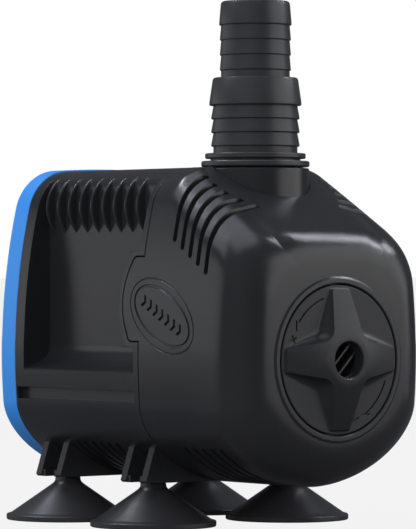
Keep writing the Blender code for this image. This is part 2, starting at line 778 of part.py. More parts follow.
def rear_cover():
    bm = bmesh.new()
    half = half_section(TOP_Z)
    rings = [ring(half, REAR_SEAM_Y + CLEARANCE)]
    for away in end_distances(REAR_ROUND):
        back = round_in(REAR_ROUND, away)
        rings.append(ring(drawn_in(half, back, back, back), REAR_Y - away))
    loft(bm, rings)
    cover = make("rear_cover", bm, "blue")
    inside = bmesh.new()
    inner = half_section(TOP_Z, WALL)
    loft(inside, [ring(inner, REAR_SEAM_Y - 1.0), ring(inner, REAR_Y - WALL)])
    cut(cover, make("rear_cover_inside", inside))
    spigot = bmesh.new()
    spigot_y = REAR_SEAM_Y - SPIGOT_LENGTH
    loft(spigot, [ring(cavity_half(CLEARANCE), spigot_y), ring(cavity_half(CLEARANCE), REAR_Y - WALL / 2.0)])
    spigot = make("rear_spigot", spigot)
    hollow = bmesh.new()
    inner = cavity_half(CLEARANCE + SPIGOT_WALL)
    loft(hollow, [ring(inner, spigot_y - 1.0), ring(inner, REAR_Y - WALL)])
    cut(spigot, make("rear_spigot_inside", hollow))
    join(cover, spigot)
    hole = bmesh.new()
    rod(hole, GLAND_RADIUS + CLEARANCE, "Y", (0.0, GLAND_Z), REAR_Y - 2.0 * WALL, REAR_Y + 1.0,
        MEDIUM_SEGMENTS)
    cut(cover, make("gland_hole", hole))


def cable_gland():
    bm = bmesh.new()
    inside = REAR_Y - WALL - CLEARANCE
    turned(bm, [(GLAND_BORE_RADIUS, inside - GLAND_FLANGE), (GLAND_FLANGE_RADIUS, inside - GLAND_FLANGE),
                (GLAND_FLANGE_RADIUS, inside), (GLAND_RADIUS, inside), (GLAND_RADIUS, REAR_Y),
                (GLAND_BORE_RADIUS, REAR_Y)], "Y", (0.0, GLAND_Z), MEDIUM_SEGMENTS)
    make("cable_gland", bm, "rubber")


def motor_lid():
    bm = bmesh.new()
    half = cavity_half(CLEARANCE)
    loft(bm, [ring(half, LID_FRONT_Y), ring(half, LID_FRONT_Y + LID_THICKNESS)])
    lid = make("motor_lid", bm, "inner")
    hole = bmesh.new()
    rod(hole, GLAND_BORE_RADIUS, "Y", (0.0, GLAND_Z), LID_FRONT_Y - 1.0,
        LID_FRONT_Y + LID_THICKNESS + 1.0, SMALL_SEGMENTS)
    cut(lid, make("lid_wire_hole", hole))


def rotor_well():
    bm = bmesh.new()
    bore = WELL_RADIUS - WELL_WALL
    seat = BUSH_RADIUS + CLEARANCE
    seat_y = WELL_FLOOR_Y - BUSH_LENGTH
    turned(bm, [(0.0, WELL_END_Y), (WELL_RADIUS, WELL_END_Y), (WELL_RADIUS, WELL_FLANGE_REAR_Y),
                (CHAMBER_RADIUS, WELL_FLANGE_REAR_Y), (CHAMBER_RADIUS, WELL_FLANGE_FRONT_Y),
                (bore, WELL_FLANGE_FRONT_Y), (bore, WELL_FLOOR_Y), (seat + SOCKET_WALL, WELL_FLOOR_Y),
                (seat + SOCKET_WALL, seat_y), (seat, seat_y), (seat, WELL_FLOOR_Y), (0.0, WELL_FLOOR_Y)],
           "Y", (0.0, ROTOR_Z), ROUND_SEGMENTS)
    well = make("rotor_well", bm, "inner")
    cut(well, screw_holes("well_screw_holes"))


def well_seal():
    bm = bmesh.new()
    half = SEAL_THICKNESS / 2.0
    middle = BULKHEAD_FRONT_Y + half
    profile = [(SEAL_CIRCLE_RADIUS + half * math.cos(step * math.pi / 4.0),
                middle + half * math.sin(step * math.pi / 4.0)) for step in range(8)]
    turned(bm, profile, "Y", (0.0, ROTOR_Z), MEDIUM_SEGMENTS)
    make("well_seal", bm, "seal")


def stator_core():
    bm = bmesh.new()
    outline = [(-CORE_HALF_WIDTH, CORE_LOW_Z), (CORE_HALF_WIDTH, CORE_LOW_Z), (CORE_HALF_WIDTH, POLE_TOP_Z),
               (LEG_OUTER_X, POLE_TOP_Z), (LEG_OUTER_X, CORE_TOP_Z), (-LEG_OUTER_X, CORE_TOP_Z),
               (-LEG_OUTER_X, POLE_TOP_Z), (-CORE_HALF_WIDTH, POLE_TOP_Z)]
    prism(bm, outline, "Y", CORE_FRONT_Y, CORE_REAR_Y)
    core = make("stator_core", bm, "steel")
    openings = bmesh.new()
    box(openings, (-LEG_INNER_X, CORE_FRONT_Y - 1.0, POLE_TOP_Z),
        (LEG_INNER_X, CORE_REAR_Y + 1.0, CORE_TOP_Z - YOKE_HEIGHT))
    rod(openings, WELL_RADIUS + CLEARANCE, "Y", (0.0, ROTOR_Z), CORE_FRONT_Y - 1.0, CORE_REAR_Y + 1.0,
        ROUND_SEGMENTS)
    cut(core, make("stator_openings", openings))


def grown(low, high, by):
    """A box grown sideways and lengthways, not in height"""
    return ((low[0] - by, low[1] - by, low[2]), (high[0] + by, high[1] + by, high[2]))


def bobbin_and_coil(word, side):
    """Flanged bobbin on one leg of the core, with its winding between the flanges"""
    inner, outer = sorted((side * LEG_INNER_X, side * LEG_OUTER_X))
    low = (inner, CORE_FRONT_Y, POLE_TOP_Z + CLEARANCE)
    high = (outer, CORE_REAR_Y, CORE_TOP_Z - YOKE_HEIGHT - CLEARANCE)
    spool = CLEARANCE + BOBBIN_WALL
    winding = spool + CLEARANCE
    flange = winding + COIL_BUILD + FLANGE_OVERHANG
    bobbin_bm = bmesh.new()
    box(bobbin_bm, *grown(low, high, flange))
    bobbin = make("bobbin_" + word, bobbin_bm, "inner")
    waist_low = low[2] + BOBBIN_FLANGE
    waist_high = high[2] - BOBBIN_FLANGE
    waist_bm = bmesh.new()
    box(waist_bm, *grown((low[0], low[1], waist_low), (high[0], high[1], waist_high), flange + 1.0))
    waist = make("bobbin_waist_" + word, waist_bm)
    core_bm = bmesh.new()
    box(core_bm, *grown((low[0], low[1], waist_low - 1.0), (high[0], high[1], waist_high + 1.0), spool))
    cut(waist, make("bobbin_spool_" + word, core_bm))
    cut(bobbin, waist)
    leg_bm = bmesh.new()
    box(leg_bm, *grown((low[0], low[1], low[2] - 1.0), (high[0], high[1], high[2] + 1.0), CLEARANCE))
    cut(bobbin, make("bobbin_leg_hole_" + word, leg_bm))
    coil_low = (low[0], low[1], waist_low + CLEARANCE)
    coil_high = (high[0], high[1], waist_high - CLEARANCE)
    coil_bm = bmesh.new()
    box(coil_bm, *grown(coil_low, coil_high, winding + COIL_BUILD))
    coil = make("coil_" + word, coil_bm, "copper")
    hole_bm = bmesh.new()
    box(hole_bm, *grown((low[0], low[1], waist_low - 1.0), (high[0], high[1], waist_high + 1.0), winding))
    cut(coil, make("coil_hole_" + word, hole_bm))


def bushes():
    """Ceramic bushes at both ends of the shaft, and the thrust washer behind the front one"""
    axis = (0.0, ROTOR_Z)
    pivot = (0.0, 0.0, ROTOR_Z)
    bore = SHAFT_RADIUS + CLEARANCE
    rear_end = WELL_FLOOR_Y - CLEARANCE
    rear = bmesh.new()
    tube(rear, BUSH_RADIUS, bore, "Y", axis, rear_end - BUSH_LENGTH, rear_end, MEDIUM_SEGMENTS)
    make("rear_bush", rear, "ceramic", pivot)
    front = bmesh.new()
    tube(front, BUSH_RADIUS, bore, "Y", axis, COVER_REAR_Y - BUSH_LENGTH, COVER_REAR_Y, MEDIUM_SEGMENTS)
    make("front_bush", front, "ceramic", pivot)
    washer = bmesh.new()
    washer_y = COVER_REAR_Y + CLEARANCE
    tube(washer, WASHER_RADIUS, bore, "Y", axis, washer_y, washer_y + WASHER_THICKNESS, MEDIUM_SEGMENTS)
    make("thrust_washer", washer, "ceramic", pivot)


def rotor():
    """Shaft, ring magnet and impeller, all on the rotor axis"""
    axis = (0.0, ROTOR_Z)
    pivot = (0.0, 0.0, ROTOR_Z)
    bore = SHAFT_RADIUS + CLEARANCE
    shaft = bmesh.new()
    rod(shaft, SHAFT_RADIUS, "Y", axis, SHAFT_FRONT_Y, WELL_FLOOR_Y - 2.0 * CLEARANCE, MEDIUM_SEGMENTS)
    make("rotor_shaft", shaft, "ceramic", pivot)
    magnet = bmesh.new()
    tube(magnet, MAGNET_RADIUS, bore, "Y", axis, MAGNET_FRONT_Y, MAGNET_REAR_Y, ROUND_SEGMENTS)
    make("rotor_magnet", magnet, "ferrite", pivot)
    wheel = bmesh.new()
    disc_rear = IMPELLER_DISC_Y + IMPELLER_DISC
    nose_y = COVER_REAR_Y + WASHER_THICKNESS + 2.0 * CLEARANCE
    turned(wheel, [(bore, nose_y), (WASHER_RADIUS, nose_y), (IMPELLER_HUB_RADIUS, IMPELLER_DISC_Y),
                   (IMPELLER_RADIUS, IMPELLER_DISC_Y), (IMPELLER_RADIUS, disc_rear),
                   (IMPELLER_HUB_RADIUS, disc_rear), (IMPELLER_HUB_RADIUS, MAGNET_FRONT_Y - CLEARANCE),
                   (bore, MAGNET_FRONT_Y - CLEARANCE)], "Y", axis, ROUND_SEGMENTS)
    impeller = make("impeller", wheel, "inner", pivot)
    vanes = bmesh.new()
    half = VANE_THICKNESS / 2.0
    for index in range(VANE_COUNT):
        angle = 2.0 * math.pi * index / VANE_COUNT
        turn = Matrix.Rotation(angle, 2)
        corners = [(WASHER_RADIUS, -half), (IMPELLER_RADIUS - 0.5, -half),
                   (IMPELLER_RADIUS - 0.5, half), (WASHER_RADIUS, half)]
        outline = [turn @ Vector(corner) for corner in corners]
        prism(vanes, [(v.x, ROTOR_Z + v.y) for v in outline], "Y", IMPELLER_FRONT_Y, IMPELLER_DISC_Y + 0.5)
    join(impeller, make("impeller_vanes", vanes))


def pump_chamber():
    """Round chamber with the outlet pipe and boss standing on it"""
    outlet = (0.0, OUTLET_Y)
    bm = bmesh.new()
    rod(bm, CHAMBER_RADIUS, "Y", (0.0, ROTOR_Z), CHAMBER_FRONT_Y, CHAMBER_REAR_Y, ROUND_SEGMENTS)
    chamber = make("pump_chamber", bm, "casing")
    pipe = bmesh.new()
    turned(pipe, [(0.0, ROTOR_Z), (PIPE_RADIUS, ROTOR_Z),
                  (PIPE_RADIUS, BOSS_LOW_Z), (BOSS_RADIUS, BOSS_LOW_Z),
                  (BOSS_RADIUS, BOSS_TOP_Z), (0.0, BOSS_TOP_Z)], "Z", outlet, ROUND_SEGMENTS)
    join(chamber, make("outlet_pipe", pipe), "MANIFOLD")
    room = bmesh.new()
    rod(room, CHAMBER_BORE_RADIUS, "Y", (0.0, ROTOR_Z), CHAMBER_FRONT_Y - 1.0, CHAMBER_REAR_Y + 1.0,
        ROUND_SEGMENTS)
    cut(chamber, make("impeller_room", room), "MANIFOLD")
    bore = bmesh.new()
    turned(bore, [(0.0, ROTOR_Z), (PIPE_BORE_RADIUS, ROTOR_Z), (PIPE_BORE_RADIUS, SOCKET_LOW_Z),
                  (SOCKET_RADIUS, SOCKET_LOW_Z), (SOCKET_RADIUS, BOSS_TOP_Z + 1.0), (0.0, BOSS_TOP_Z + 1.0)],
           "Z", outlet, ROUND_SEGMENTS)
    cut(chamber, make("outlet_bore", bore), "MANIFOLD")
    cut(chamber, screw_holes("chamber_screw_holes"), "MANIFOLD")


def chamber_cover():
    """Front plate of the chamber: suction eye with a spider that holds the front bush"""
    axis = (0.0, ROTOR_Z)
    bm = bmesh.new()
    tube(bm, CHAMBER_RADIUS, EYE_RADIUS, "Y", axis, COVER_FRONT_Y, COVER_REAR_Y, ROUND_SEGMENTS)
    cover = make("chamber_cover", bm, "casing")
    spokes = bmesh.new()
    half = SPOKE_WIDTH / 2.0
    seat = BUSH_RADIUS + CLEARANCE
    for index in range(SPOKE_COUNT):
        turn = Matrix.Rotation(2.0 * math.pi * index / SPOKE_COUNT + math.pi / 2.0, 2)
        inner, outer = seat + 0.5, EYE_RADIUS + 1.0
        corners = [(inner, -half), (outer, -half), (outer, half), (inner, half)]
        outline = [turn @ Vector(corner) for corner in corners]
        prism(spokes, [(v.x, ROTOR_Z + v.y) for v in outline], "Y", COVER_FRONT_Y + 0.4, COVER_REAR_Y - 0.4)
    join(cover, make("eye_spokes", spokes))
    hub = bmesh.new()
    tube(hub, seat + SOCKET_WALL, seat, "Y", axis, COVER_FRONT_Y, COVER_REAR_Y, MEDIUM_SEGMENTS)
    join(cover, make("eye_hub", hub))
    cut(cover, screw_holes("cover_screw_holes"))


def chamber_screws():
    tip = BULKHEAD_FRONT_Y + SCREW_DEPTH
    seat = COVER_FRONT_Y - CLEARANCE
    for index, centre in enumerate(screw_places()):
        bm = bmesh.new()
        turned(bm, [(0.0, seat - SCREW_HEAD), (SCREW_HEAD_RADIUS, seat - SCREW_HEAD),
                    (SCREW_HEAD_RADIUS, seat),
                    (SCREW_RADIUS, seat), (SCREW_RADIUS, tip), (0.0, tip)], "Y", centre, SMALL_SEGMENTS)
        make("chamber_screw_%d" % (index + 1), bm, "steel", (centre[0], 0.0, centre[1]))


def barbs(root, tip, first, pitch):
    """Saw-tooth steps: each slopes out upward to a sharp under-edge, listed from the bottom up"""
    points = []
    for index in range(BARB_COUNT):
        low = first + index * pitch
        points += [(root, low), (tip, low), (root, low + pitch)]
    return points


def hose_tail():
    lower = barbs(LOWER_ROOT_RADIUS, LOWER_TIP_RADIUS, LOWER_FIRST_Z, LOWER_PITCH)
    upper = barbs(UPPER_ROOT_RADIUS, UPPER_TIP_RADIUS, UPPER_FIRST_Z, UPPER_PITCH)
    spigot = SOCKET_RADIUS - CLEARANCE
    groove = spigot - RING_GROOVE_DEPTH
    ring_high = RING_LOW_Z + RING_THICKNESS + 2.0 * CLEARANCE
    rest = BOSS_TOP_Z + CLEARANCE
    profile = [(TAIL_BORE_RADIUS, SOCKET_LOW_Z + CLEARANCE), (spigot, SOCKET_LOW_Z + CLEARANCE),
               (spigot, RING_LOW_Z), (groove, RING_LOW_Z), (groove, ring_high), (spigot, ring_high),
               (spigot, rest), (COLLAR_NECK_RADIUS, rest), (COLLAR_NECK_RADIUS, COLLAR_LOW_Z),
               (COLLAR_RADIUS, COLLAR_LOW_Z), (COLLAR_RADIUS, COLLAR_HIGH_Z),
               (FLANGE_NECK_RADIUS, COLLAR_HIGH_Z), (FLANGE_NECK_RADIUS, FLANGE_LOW_Z),
               (FLANGE_RADIUS, FLANGE_LOW_Z), (FLANGE_RADIUS, FLANGE_HIGH_Z),
               (LOWER_ROOT_RADIUS, FLANGE_HIGH_Z)]
    profile += lower
    profile += [(BIG_BARB_RADIUS, BIG_BARB_Z), (BIG_BARB_TOP_RADIUS, BIG_BARB_TOP_Z),
                (UPPER_ROOT_RADIUS, BIG_BARB_TOP_Z)]
    profile += upper
    profile += [(TOP_BARB_RADIUS, TOP_BARB_Z), (UPPER_ROOT_RADIUS, TAIL_TOP_Z),
                (TAIL_BORE_RADIUS, TAIL_TOP_Z)]
    bm = bmesh.new()
    turned(bm, profile, "Z", (0.0, OUTLET_Y), ROUND_SEGMENTS)
    make("hose_tail", bm, "casing", (0.0, OUTLET_Y, 0.0))


def outlet_ring():
    bm = bmesh.new()
    half = RING_THICKNESS / 2.0
    middle = SOCKET_RADIUS - CLEARANCE - RING_GROOVE_DEPTH + CLEARANCE + half
    height = RING_LOW_Z + CLEARANCE + half
    angles = [step * math.pi / 4.0 for step in range(8)]
    profile = [(middle + half * math.cos(a), height + half * math.sin(a)) for a in angles]
    turned(bm, profile, "Z", (0.0, OUTLET_Y), MEDIUM_SEGMENTS)
    make("outlet_ring", bm, "seal", (0.0, OUTLET_Y, 0.0))


def slot_path(index):
    """Stretch of the section that one shoulder slot follows, from the side up to the roof"""
    y = SLOT_FIRST_Y - index * SLOT_PITCH
    low = SLOT_FIRST_LOW_Z - index * SLOT_LOW_DROP
    inner = SLOT_FIRST_INNER_X - SLOT_INNER_DROP * index * index
    over = shoulder(roof_z(y), 0.0)
    share = inner / over[-1][0]
    roof = (inner, over[-1][1] + CROWN * max(0.0, 1.0 - share))
    kept = [point for point in over if point[1] > low + 1.0 and point[0] > inner + 1.0]
    return [(side_x(low), low)] + kept + [roof]


def cut_cage_slots(cage):
    """Through slots over both shoulders and under the belly"""
    slots = bmesh.new()
    for index in range(SLOT_COUNT):
        y = SLOT_FIRST_Y - index * SLOT_PITCH
        for path in both_sides(slot_path(index)) + both_sides(belly_path()):
            band(slots, path, 2.0 * WALL, WALL, y, SLOT_WIDTH)
    cut(cage, make("strainer_slots", slots), "MANIFOLD")


def front_cage():
    bm = bmesh.new()
    rear = TAB_TIP_Y + 1.0
    loft(bm, cage_rings(rear, 0.0))
    cage = make("front_cage", bm, "casing")
    inside = bmesh.new()
    loft(inside, cage_rings(rear + 1.0, WALL))
    cut(cage, make("cage_inside", inside), "MANIFOLD")
    pad = bmesh.new()
    rod(pad, BEZEL_RADIUS, "Y", (0.0, DIAL_Z), FRONT_Y - BEZEL_RISE, LEDGE_REAR_Y, ROUND_SEGMENTS)
    join(cage, make("dial_pad", pad), "MANIFOLD")
    bore = bmesh.new()
    turned(bore, [(0.0, KNOB_TOP_Y), (DIAL_BORE_RADIUS, KNOB_TOP_Y), (DIAL_BORE_RADIUS, LEDGE_FRONT_Y),
                  (LEDGE_RADIUS, LEDGE_FRONT_Y), (LEDGE_RADIUS, LEDGE_REAR_Y + 1.0),
                  (0.0, LEDGE_REAR_Y + 1.0)],
           "Y", (0.0, DIAL_Z), ROUND_SEGMENTS)
    cut(cage, make("dial_bore", bore), "MANIFOLD")
    behind = bmesh.new()
    outline = [(SEAM_Y, -FAR)] + tab_outline(0.0) + [(SEAM_Y, TAIL_TOP_Z), (FAR, TAIL_TOP_Z), (FAR, -FAR)]
    prism(behind, outline, "X", -FAR, FAR)
    cut(cage, make("behind_seam", behind), "MANIFOLD")
    notch = bmesh.new()
    circle = [(OUTLET_NOTCH_RADIUS * math.cos(math.pi * step / (ROUND_SEGMENTS // 2)),
               OUTLET_Y - OUTLET_NOTCH_RADIUS * math.sin(math.pi * step / (ROUND_SEGMENTS // 2)))
              for step in range(ROUND_SEGMENTS // 2 + 1)]
    opening = circle + [(-OUTLET_NOTCH_RADIUS, SEAM_Y + 1.0), (OUTLET_NOTCH_RADIUS, SEAM_Y + 1.0)]
    prism(notch, opening, "Z", BOSS_LOW_Z - 1.0, TAIL_TOP_Z)
    cut(cage, make("cage_outlet_notch", notch), "MANIFOLD")
    cut_cage_slots(cage)


def knob_outline():
    """Cross with four straight-ended arms and hollow flanks, as (x, z) round the dial axis"""
    reach = KNOB_ARM_RADIUS
    tip = KNOB_TIP_HALF_WIDTH
    pull = 2.0 * KNOB_WAIST - (reach + tip) / 2.0
    flank = curve((reach, tip), (pull, pull), (tip, reach), 8)
    outline = []
    for quarter in range(4):
        turn = Matrix.Rotation(math.radians(90.0) * quarter, 2)
        outline += [turn @ Vector(point) for point in flank]
    return [(v.x, DIAL_Z + v.y) for v in outline]


def flow_dial():
    axis = (0.0, DIAL_Z)
    pivot = (0.0, 0.0, DIAL_Z)
    disc = DIAL_BORE_RADIUS - DIAL_GAP
    seat = LEDGE_FRONT_Y - CLEARANCE
    neck = LEDGE_RADIUS - CLEARANCE
    end = LEDGE_REAR_Y + CLEARANCE
    bm = bmesh.new()
    turned(bm, [(0.0, FRONT_Y), (disc, FRONT_Y), (disc, seat), (neck, seat), (neck, end), (0.0, end)],
           "Y", axis, ROUND_SEGMENTS)
    dial = make("flow_dial", bm, "casing", pivot)
    cross = bmesh.new()
    prism(cross, knob_outline(), "Y", KNOB_TOP_Y - 1.0, FRONT_Y + 1.0)
    knob = make("dial_cross", cross)
    dome = bmesh.new()
    rise = FRONT_Y - KNOB_TIP_RISE
    slope = curve((HUB_RADIUS, KNOB_TOP_Y), (HUB_RADIUS + KNOB_CREST_RUN, KNOB_TOP_Y + KNOB_CREST_FALL),
                  (KNOB_ARM_RADIUS + 1.0, rise), 5)
    turned(dome, [(0.0, KNOB_TOP_Y)] + slope + [(KNOB_ARM_RADIUS + 1.0, FRONT_Y + 0.8), (0.0, FRONT_Y + 0.8)],
           "Y", axis, ROUND_SEGMENTS)
    combine(knob, make("knob_dome", dome), "INTERSECT")
    join(dial, knob, "MANIFOLD")
    hole = bmesh.new()
    above = KNOB_TOP_Y - 1.0
    mouth = HUB_BORE_RADIUS + HUB_CHAMFER + 1.0
    floor = KNOB_TOP_Y + HUB_DEPTH
    turned(hole, [(0.0, above), (mouth, above), (HUB_BORE_RADIUS, KNOB_TOP_Y + HUB_CHAMFER),
                  (HUB_BORE_RADIUS, floor), (0.0, floor)], "Y", axis, MEDIUM_SEGMENTS)
    cut(dial, make("hub_bore", hole))


def hub_grille():
    bm = bmesh.new()
    rear = KNOB_TOP_Y + HUB_DEPTH - CLEARANCE
    front = rear - GRILLE_THICKNESS
    rod(bm, HUB_BORE_RADIUS - CLEARANCE, "Y", (0.0, DIAL_Z), front, rear, MEDIUM_SEGMENTS)
    grille = make("hub_grille", bm, "casing", (0.0, 0.0, DIAL_Z))
    slots = bmesh.new()
    turn = Matrix.Rotation(math.radians(45.0), 2)
    for step in (-0.5, 0.5):
        edge = (GRILLE_PITCH + GRILLE_SLOT) / 2.0
        reach = math.sqrt((HUB_BORE_RADIUS - 2.0 * CLEARANCE) ** 2 - edge ** 2)
        middle = step * GRILLE_PITCH
        corners = [(-reach, middle - GRILLE_SLOT / 2.0), (reach, middle - GRILLE_SLOT / 2.0),
                   (reach, middle + GRILLE_SLOT / 2.0), (-reach, middle + GRILLE_SLOT / 2.0)]
        outline = [turn @ Vector(corner) for corner in corners]
        prism(slots, [(v.x, DIAL_Z + v.y) for v in outline], "Y", front - 1.0, rear + 1.0)
    cut(grille, make("grille_slots", slots))


def flow_shutter():
    """Retainer behind the dial, and the shutter on its stalk in front of the suction eye"""
    axis = (0.0, DIAL_Z)
    pivot = (0.0, 0.0, DIAL_Z)
    front = LEDGE_REAR_Y + 2.0 * CLEARANCE
    rear = front + RETAINER_THICKNESS
    plate = bmesh.new()
    tube(plate, RETAINER_RADIUS, STALK_PIN_RADIUS + CLEARANCE, "Y", axis, front, rear, ROUND_SEGMENTS)
    make("dial_retainer", plate, "inner", pivot)
    disc_front = SHUTTER_REAR_Y - SHUTTER_THICKNESS
    stalk = bmesh.new()
    turned(stalk, [(0.0, front), (STALK_PIN_RADIUS, front), (STALK_PIN_RADIUS, rear + CLEARANCE),
                   (STALK_RADIUS, rear + CLEARANCE), (STALK_RADIUS, disc_front), (SHUTTER_RADIUS, disc_front),
                   (SHUTTER_RADIUS, SHUTTER_REAR_Y), (0.0, SHUTTER_REAR_Y)], "Y", axis, MEDIUM_SEGMENTS)
    shutter = make("flow_shutter", stalk, "inner", pivot)
    windows = bmesh.new()
    for side in (-1, 1):
        angles = [math.radians(-40.0 + 10.0 * step) for step in range(9)]
        inner_r = STALK_RADIUS + WINDOW_HUB_WALL
        outer_r = SHUTTER_RADIUS - WINDOW_RIM
        outline = [(side * inner_r * math.cos(a), DIAL_Z + inner_r * math.sin(a)) for a in angles]
        outline += [(side * outer_r * math.cos(a), DIAL_Z + outer_r * math.sin(a)) for a in reversed(angles)]
        prism(windows, outline, "Y", disc_front - 1.0, SHUTTER_REAR_Y + 1.0)
    cut(shutter, make("shutter_windows", windows))


def suction_cup(name, x, y):
    """Turned rubber cup: mushroom head over the bracket plate, stem in its slot, hollow foot"""
    head_low = PLATE_HIGH_Z + CLEARANCE
    head_high = head_low + CUP_HEAD_HEIGHT
    neck_z = PLATE_LOW_Z - CLEARANCE
    bm = bmesh.new()
    profile = [(0.0, head_high), (CUP_HEAD_RADIUS * 0.65, head_high - CUP_HEAD_CROWN),
               (CUP_HEAD_RADIUS, head_high - CUP_HEAD_SHOULDER), (CUP_HEAD_RADIUS, head_low),
               (CUP_STEM_RADIUS, head_low), (CUP_STEM_RADIUS, neck_z), (CUP_NECK_RADIUS, neck_z),
               (CUP_CONE_TOP_RADIUS, CUP_CONE_TOP_Z), (CUP_CONE_LOW_RADIUS, CUP_CONE_LOW_Z),
               (CUP_RADIUS, CUP_RIM), (CUP_RADIUS, 0.0), (CUP_RADIUS - CUP_FOOT_WIDTH, 0.0),
               (CUP_HOLLOW_RADIUS, CUP_HOLLOW_LOW_Z),
               (CUP_HOLLOW_INNER_RADIUS, CUP_HOLLOW_INNER_Z), (0.0, CUP_HOLLOW_TOP_Z)]
    turned(bm, profile, "Z", (x, y), MEDIUM_SEGMENTS)
    make(name, bm, "rubber", (x, y, 0.0))


def suction_cups():
    for side_word, side in (("left", -1), ("right", 1)):
        for end_word, y in (("front", CUP_FRONT_Y), ("rear", CUP_REAR_Y)):
            suction_cup("suction_cup_%s_%s" % (end_word, side_word), side * CUP_X, y)


def main():
    for obj in list(bpy.data.objects):
        bpy.data.objects.remove(obj, do_unlink=True)
    motor_housing()
    rear_cover()
    cable_gland()
    motor_lid()
    rotor_well()
    well_seal()
    stator_core()
    bobbin_and_coil("left", -1)
    bobbin_and_coil("right", 1)
    bushes()
    rotor()
    pump_chamber()
    chamber_cover()
    chamber_screws()
    hose_tail()
    outlet_ring()
    front_cage()
    flow_dial()
    hub_grille()
    flow_shutter()
    suction_cups()


main()
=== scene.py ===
import json
import math

import bpy
from mathutils import Matrix, Vector


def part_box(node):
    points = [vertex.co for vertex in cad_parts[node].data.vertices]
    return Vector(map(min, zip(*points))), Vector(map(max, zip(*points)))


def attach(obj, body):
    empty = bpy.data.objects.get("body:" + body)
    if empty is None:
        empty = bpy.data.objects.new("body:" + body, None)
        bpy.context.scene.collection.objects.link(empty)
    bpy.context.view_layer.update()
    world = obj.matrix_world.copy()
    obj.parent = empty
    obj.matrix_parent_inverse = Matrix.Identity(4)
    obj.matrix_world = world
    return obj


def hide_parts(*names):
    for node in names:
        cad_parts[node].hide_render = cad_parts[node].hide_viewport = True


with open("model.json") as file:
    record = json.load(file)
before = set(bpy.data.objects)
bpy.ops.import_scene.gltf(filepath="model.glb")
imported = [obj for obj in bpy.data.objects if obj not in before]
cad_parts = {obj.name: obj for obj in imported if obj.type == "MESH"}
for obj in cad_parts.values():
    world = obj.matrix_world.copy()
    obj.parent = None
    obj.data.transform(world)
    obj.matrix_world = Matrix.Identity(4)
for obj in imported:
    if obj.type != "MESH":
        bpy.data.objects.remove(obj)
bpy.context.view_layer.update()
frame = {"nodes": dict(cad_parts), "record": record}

MM = 0.001
MERGE = 0.000002
QUARTER_TURN = math.pi / 2.0

# Casing section, in millimetres as all sizes up to the oval
WALL = 2.4
HALF_WIDTH = 45.1
WIDEST_Z = 62.0
SIDE_BOW = 222.0
KEEL_Z = 15.3
KEEL_TOP_Z = 44.0
KEEL_POWER = 1.78
TOP_Z = 130.0
CROWN = 0.5
SHOULDER_RADIUS = 19.0
ROOF_SHOULDER_RADIUS = 17.0
POLE_X = 20.0
POLE_Z = 70.0
CREASE_SOFTNESS = 0.6
CORNER_WALL_SHARE = 0.15

# Casing length
FRONT_Y = -68.9
BEND_Y = -22.4
SEAM_Y = -11.4
SEAM_GAP = 0.5
BULKHEAD_FRONT_Y = -1.0
BULKHEAD_REAR_Y = 3.0
REAR_SEAM_Y = 64.3
REAR_Y = 75.0
ROOF_SLOPE = 0.625
SIDE_ROUND = 15.0
ROOF_ROUND = 7.5
KEEL_ROUND = 15.4
SPIGOT_GAP = 0.35
SPIGOT_WALL = 1.2
SPIGOT_REACH = 2.0

# Rear cover
COVER_RISE = 0.5
COVER_GAP = 0.2
REAR_ROUND = 3.0
GLAND_Z = 36.0
GLAND_RADIUS = 5.2
GLAND_DEPTH = 6.0
GLAND_CHAMFER = 1.2

# Counts of the steps in sections, rounds and bands
KEEL_STEPS = 28
SIDE_STEPS = 6
FAN_STEPS = 72
ARC_STEPS = 48
CROWN_STEPS = 4
LEAN_PASSES = 4
ROUND_STEPS = 14
BEND_RINGS = 25
ROOF_STEPS = 8
BAND_STEPS = 20
BAND_END_STEPS = 6
BELLY_STEPS = 90
OVAL_STEPS = 72
TAB_CORNER_STEPS = 5
TAB_STEPS = 18
RECESS_FILLET_STEPS = 10
RECESS_TURN_STEPS = 12
SILL_STEPS = 6
LATHE_STEPS = 96
FINE_LATHE_STEPS = 128
SMALL_LATHE_STEPS = 48

# Reach of cutting tools past a face
OVERCUT = 1.0
SMALL_OVERCUT = 0.4
HAIR = 0.01
FAR = 60.0

# Rings close to the bend of the roof
BEND_REACH = 8.0
BEND_RING_PITCH = 0.5

# Latch tab, slots and grooves
TAB_LOW_Z = 67.4
TAB_HIGH_Z = 97.5
TAB_LENGTH = 6.2
TAB_BULGE = 3.9
TAB_LIP = 2.2
TAB_TIP_Y = SEAM_Y + TAB_LENGTH + TAB_BULGE
TAB_CORNER = 2.0
TAB_CORNER_OUT = 0.6
TAB_CORNER_RISE = 2.2
TAB_PLAY = 0.6
CAGE_SPARE = 2.0
SLOT_WIDTH = 2.2
SLOT_TIP_WIDTH = 0.03
SLOT_PITCH = 5.0
SLOT_FIRST_Y = -27.4
SLOT_COUNT = 5
SLOT_FIRST_LOW_Z = 102.9
SLOT_LOW_DROP = 2.9
SLOT_FIRST_INNER_X = 27.7
SLOT_INNER_DROP = 0.58
SLOT_LOW_TRIM = 0.5
SLOT_INNER_TRIM = 0.3
BELLY_TOP_Z = 29.5
BELLY_INNER_X = 11.0
GROOVE_FIRST_Y = 13.3
GROOVE_PITCH = 4.76
GROOVE_COUNT = 6
GROOVE_DEPTH = 1.2

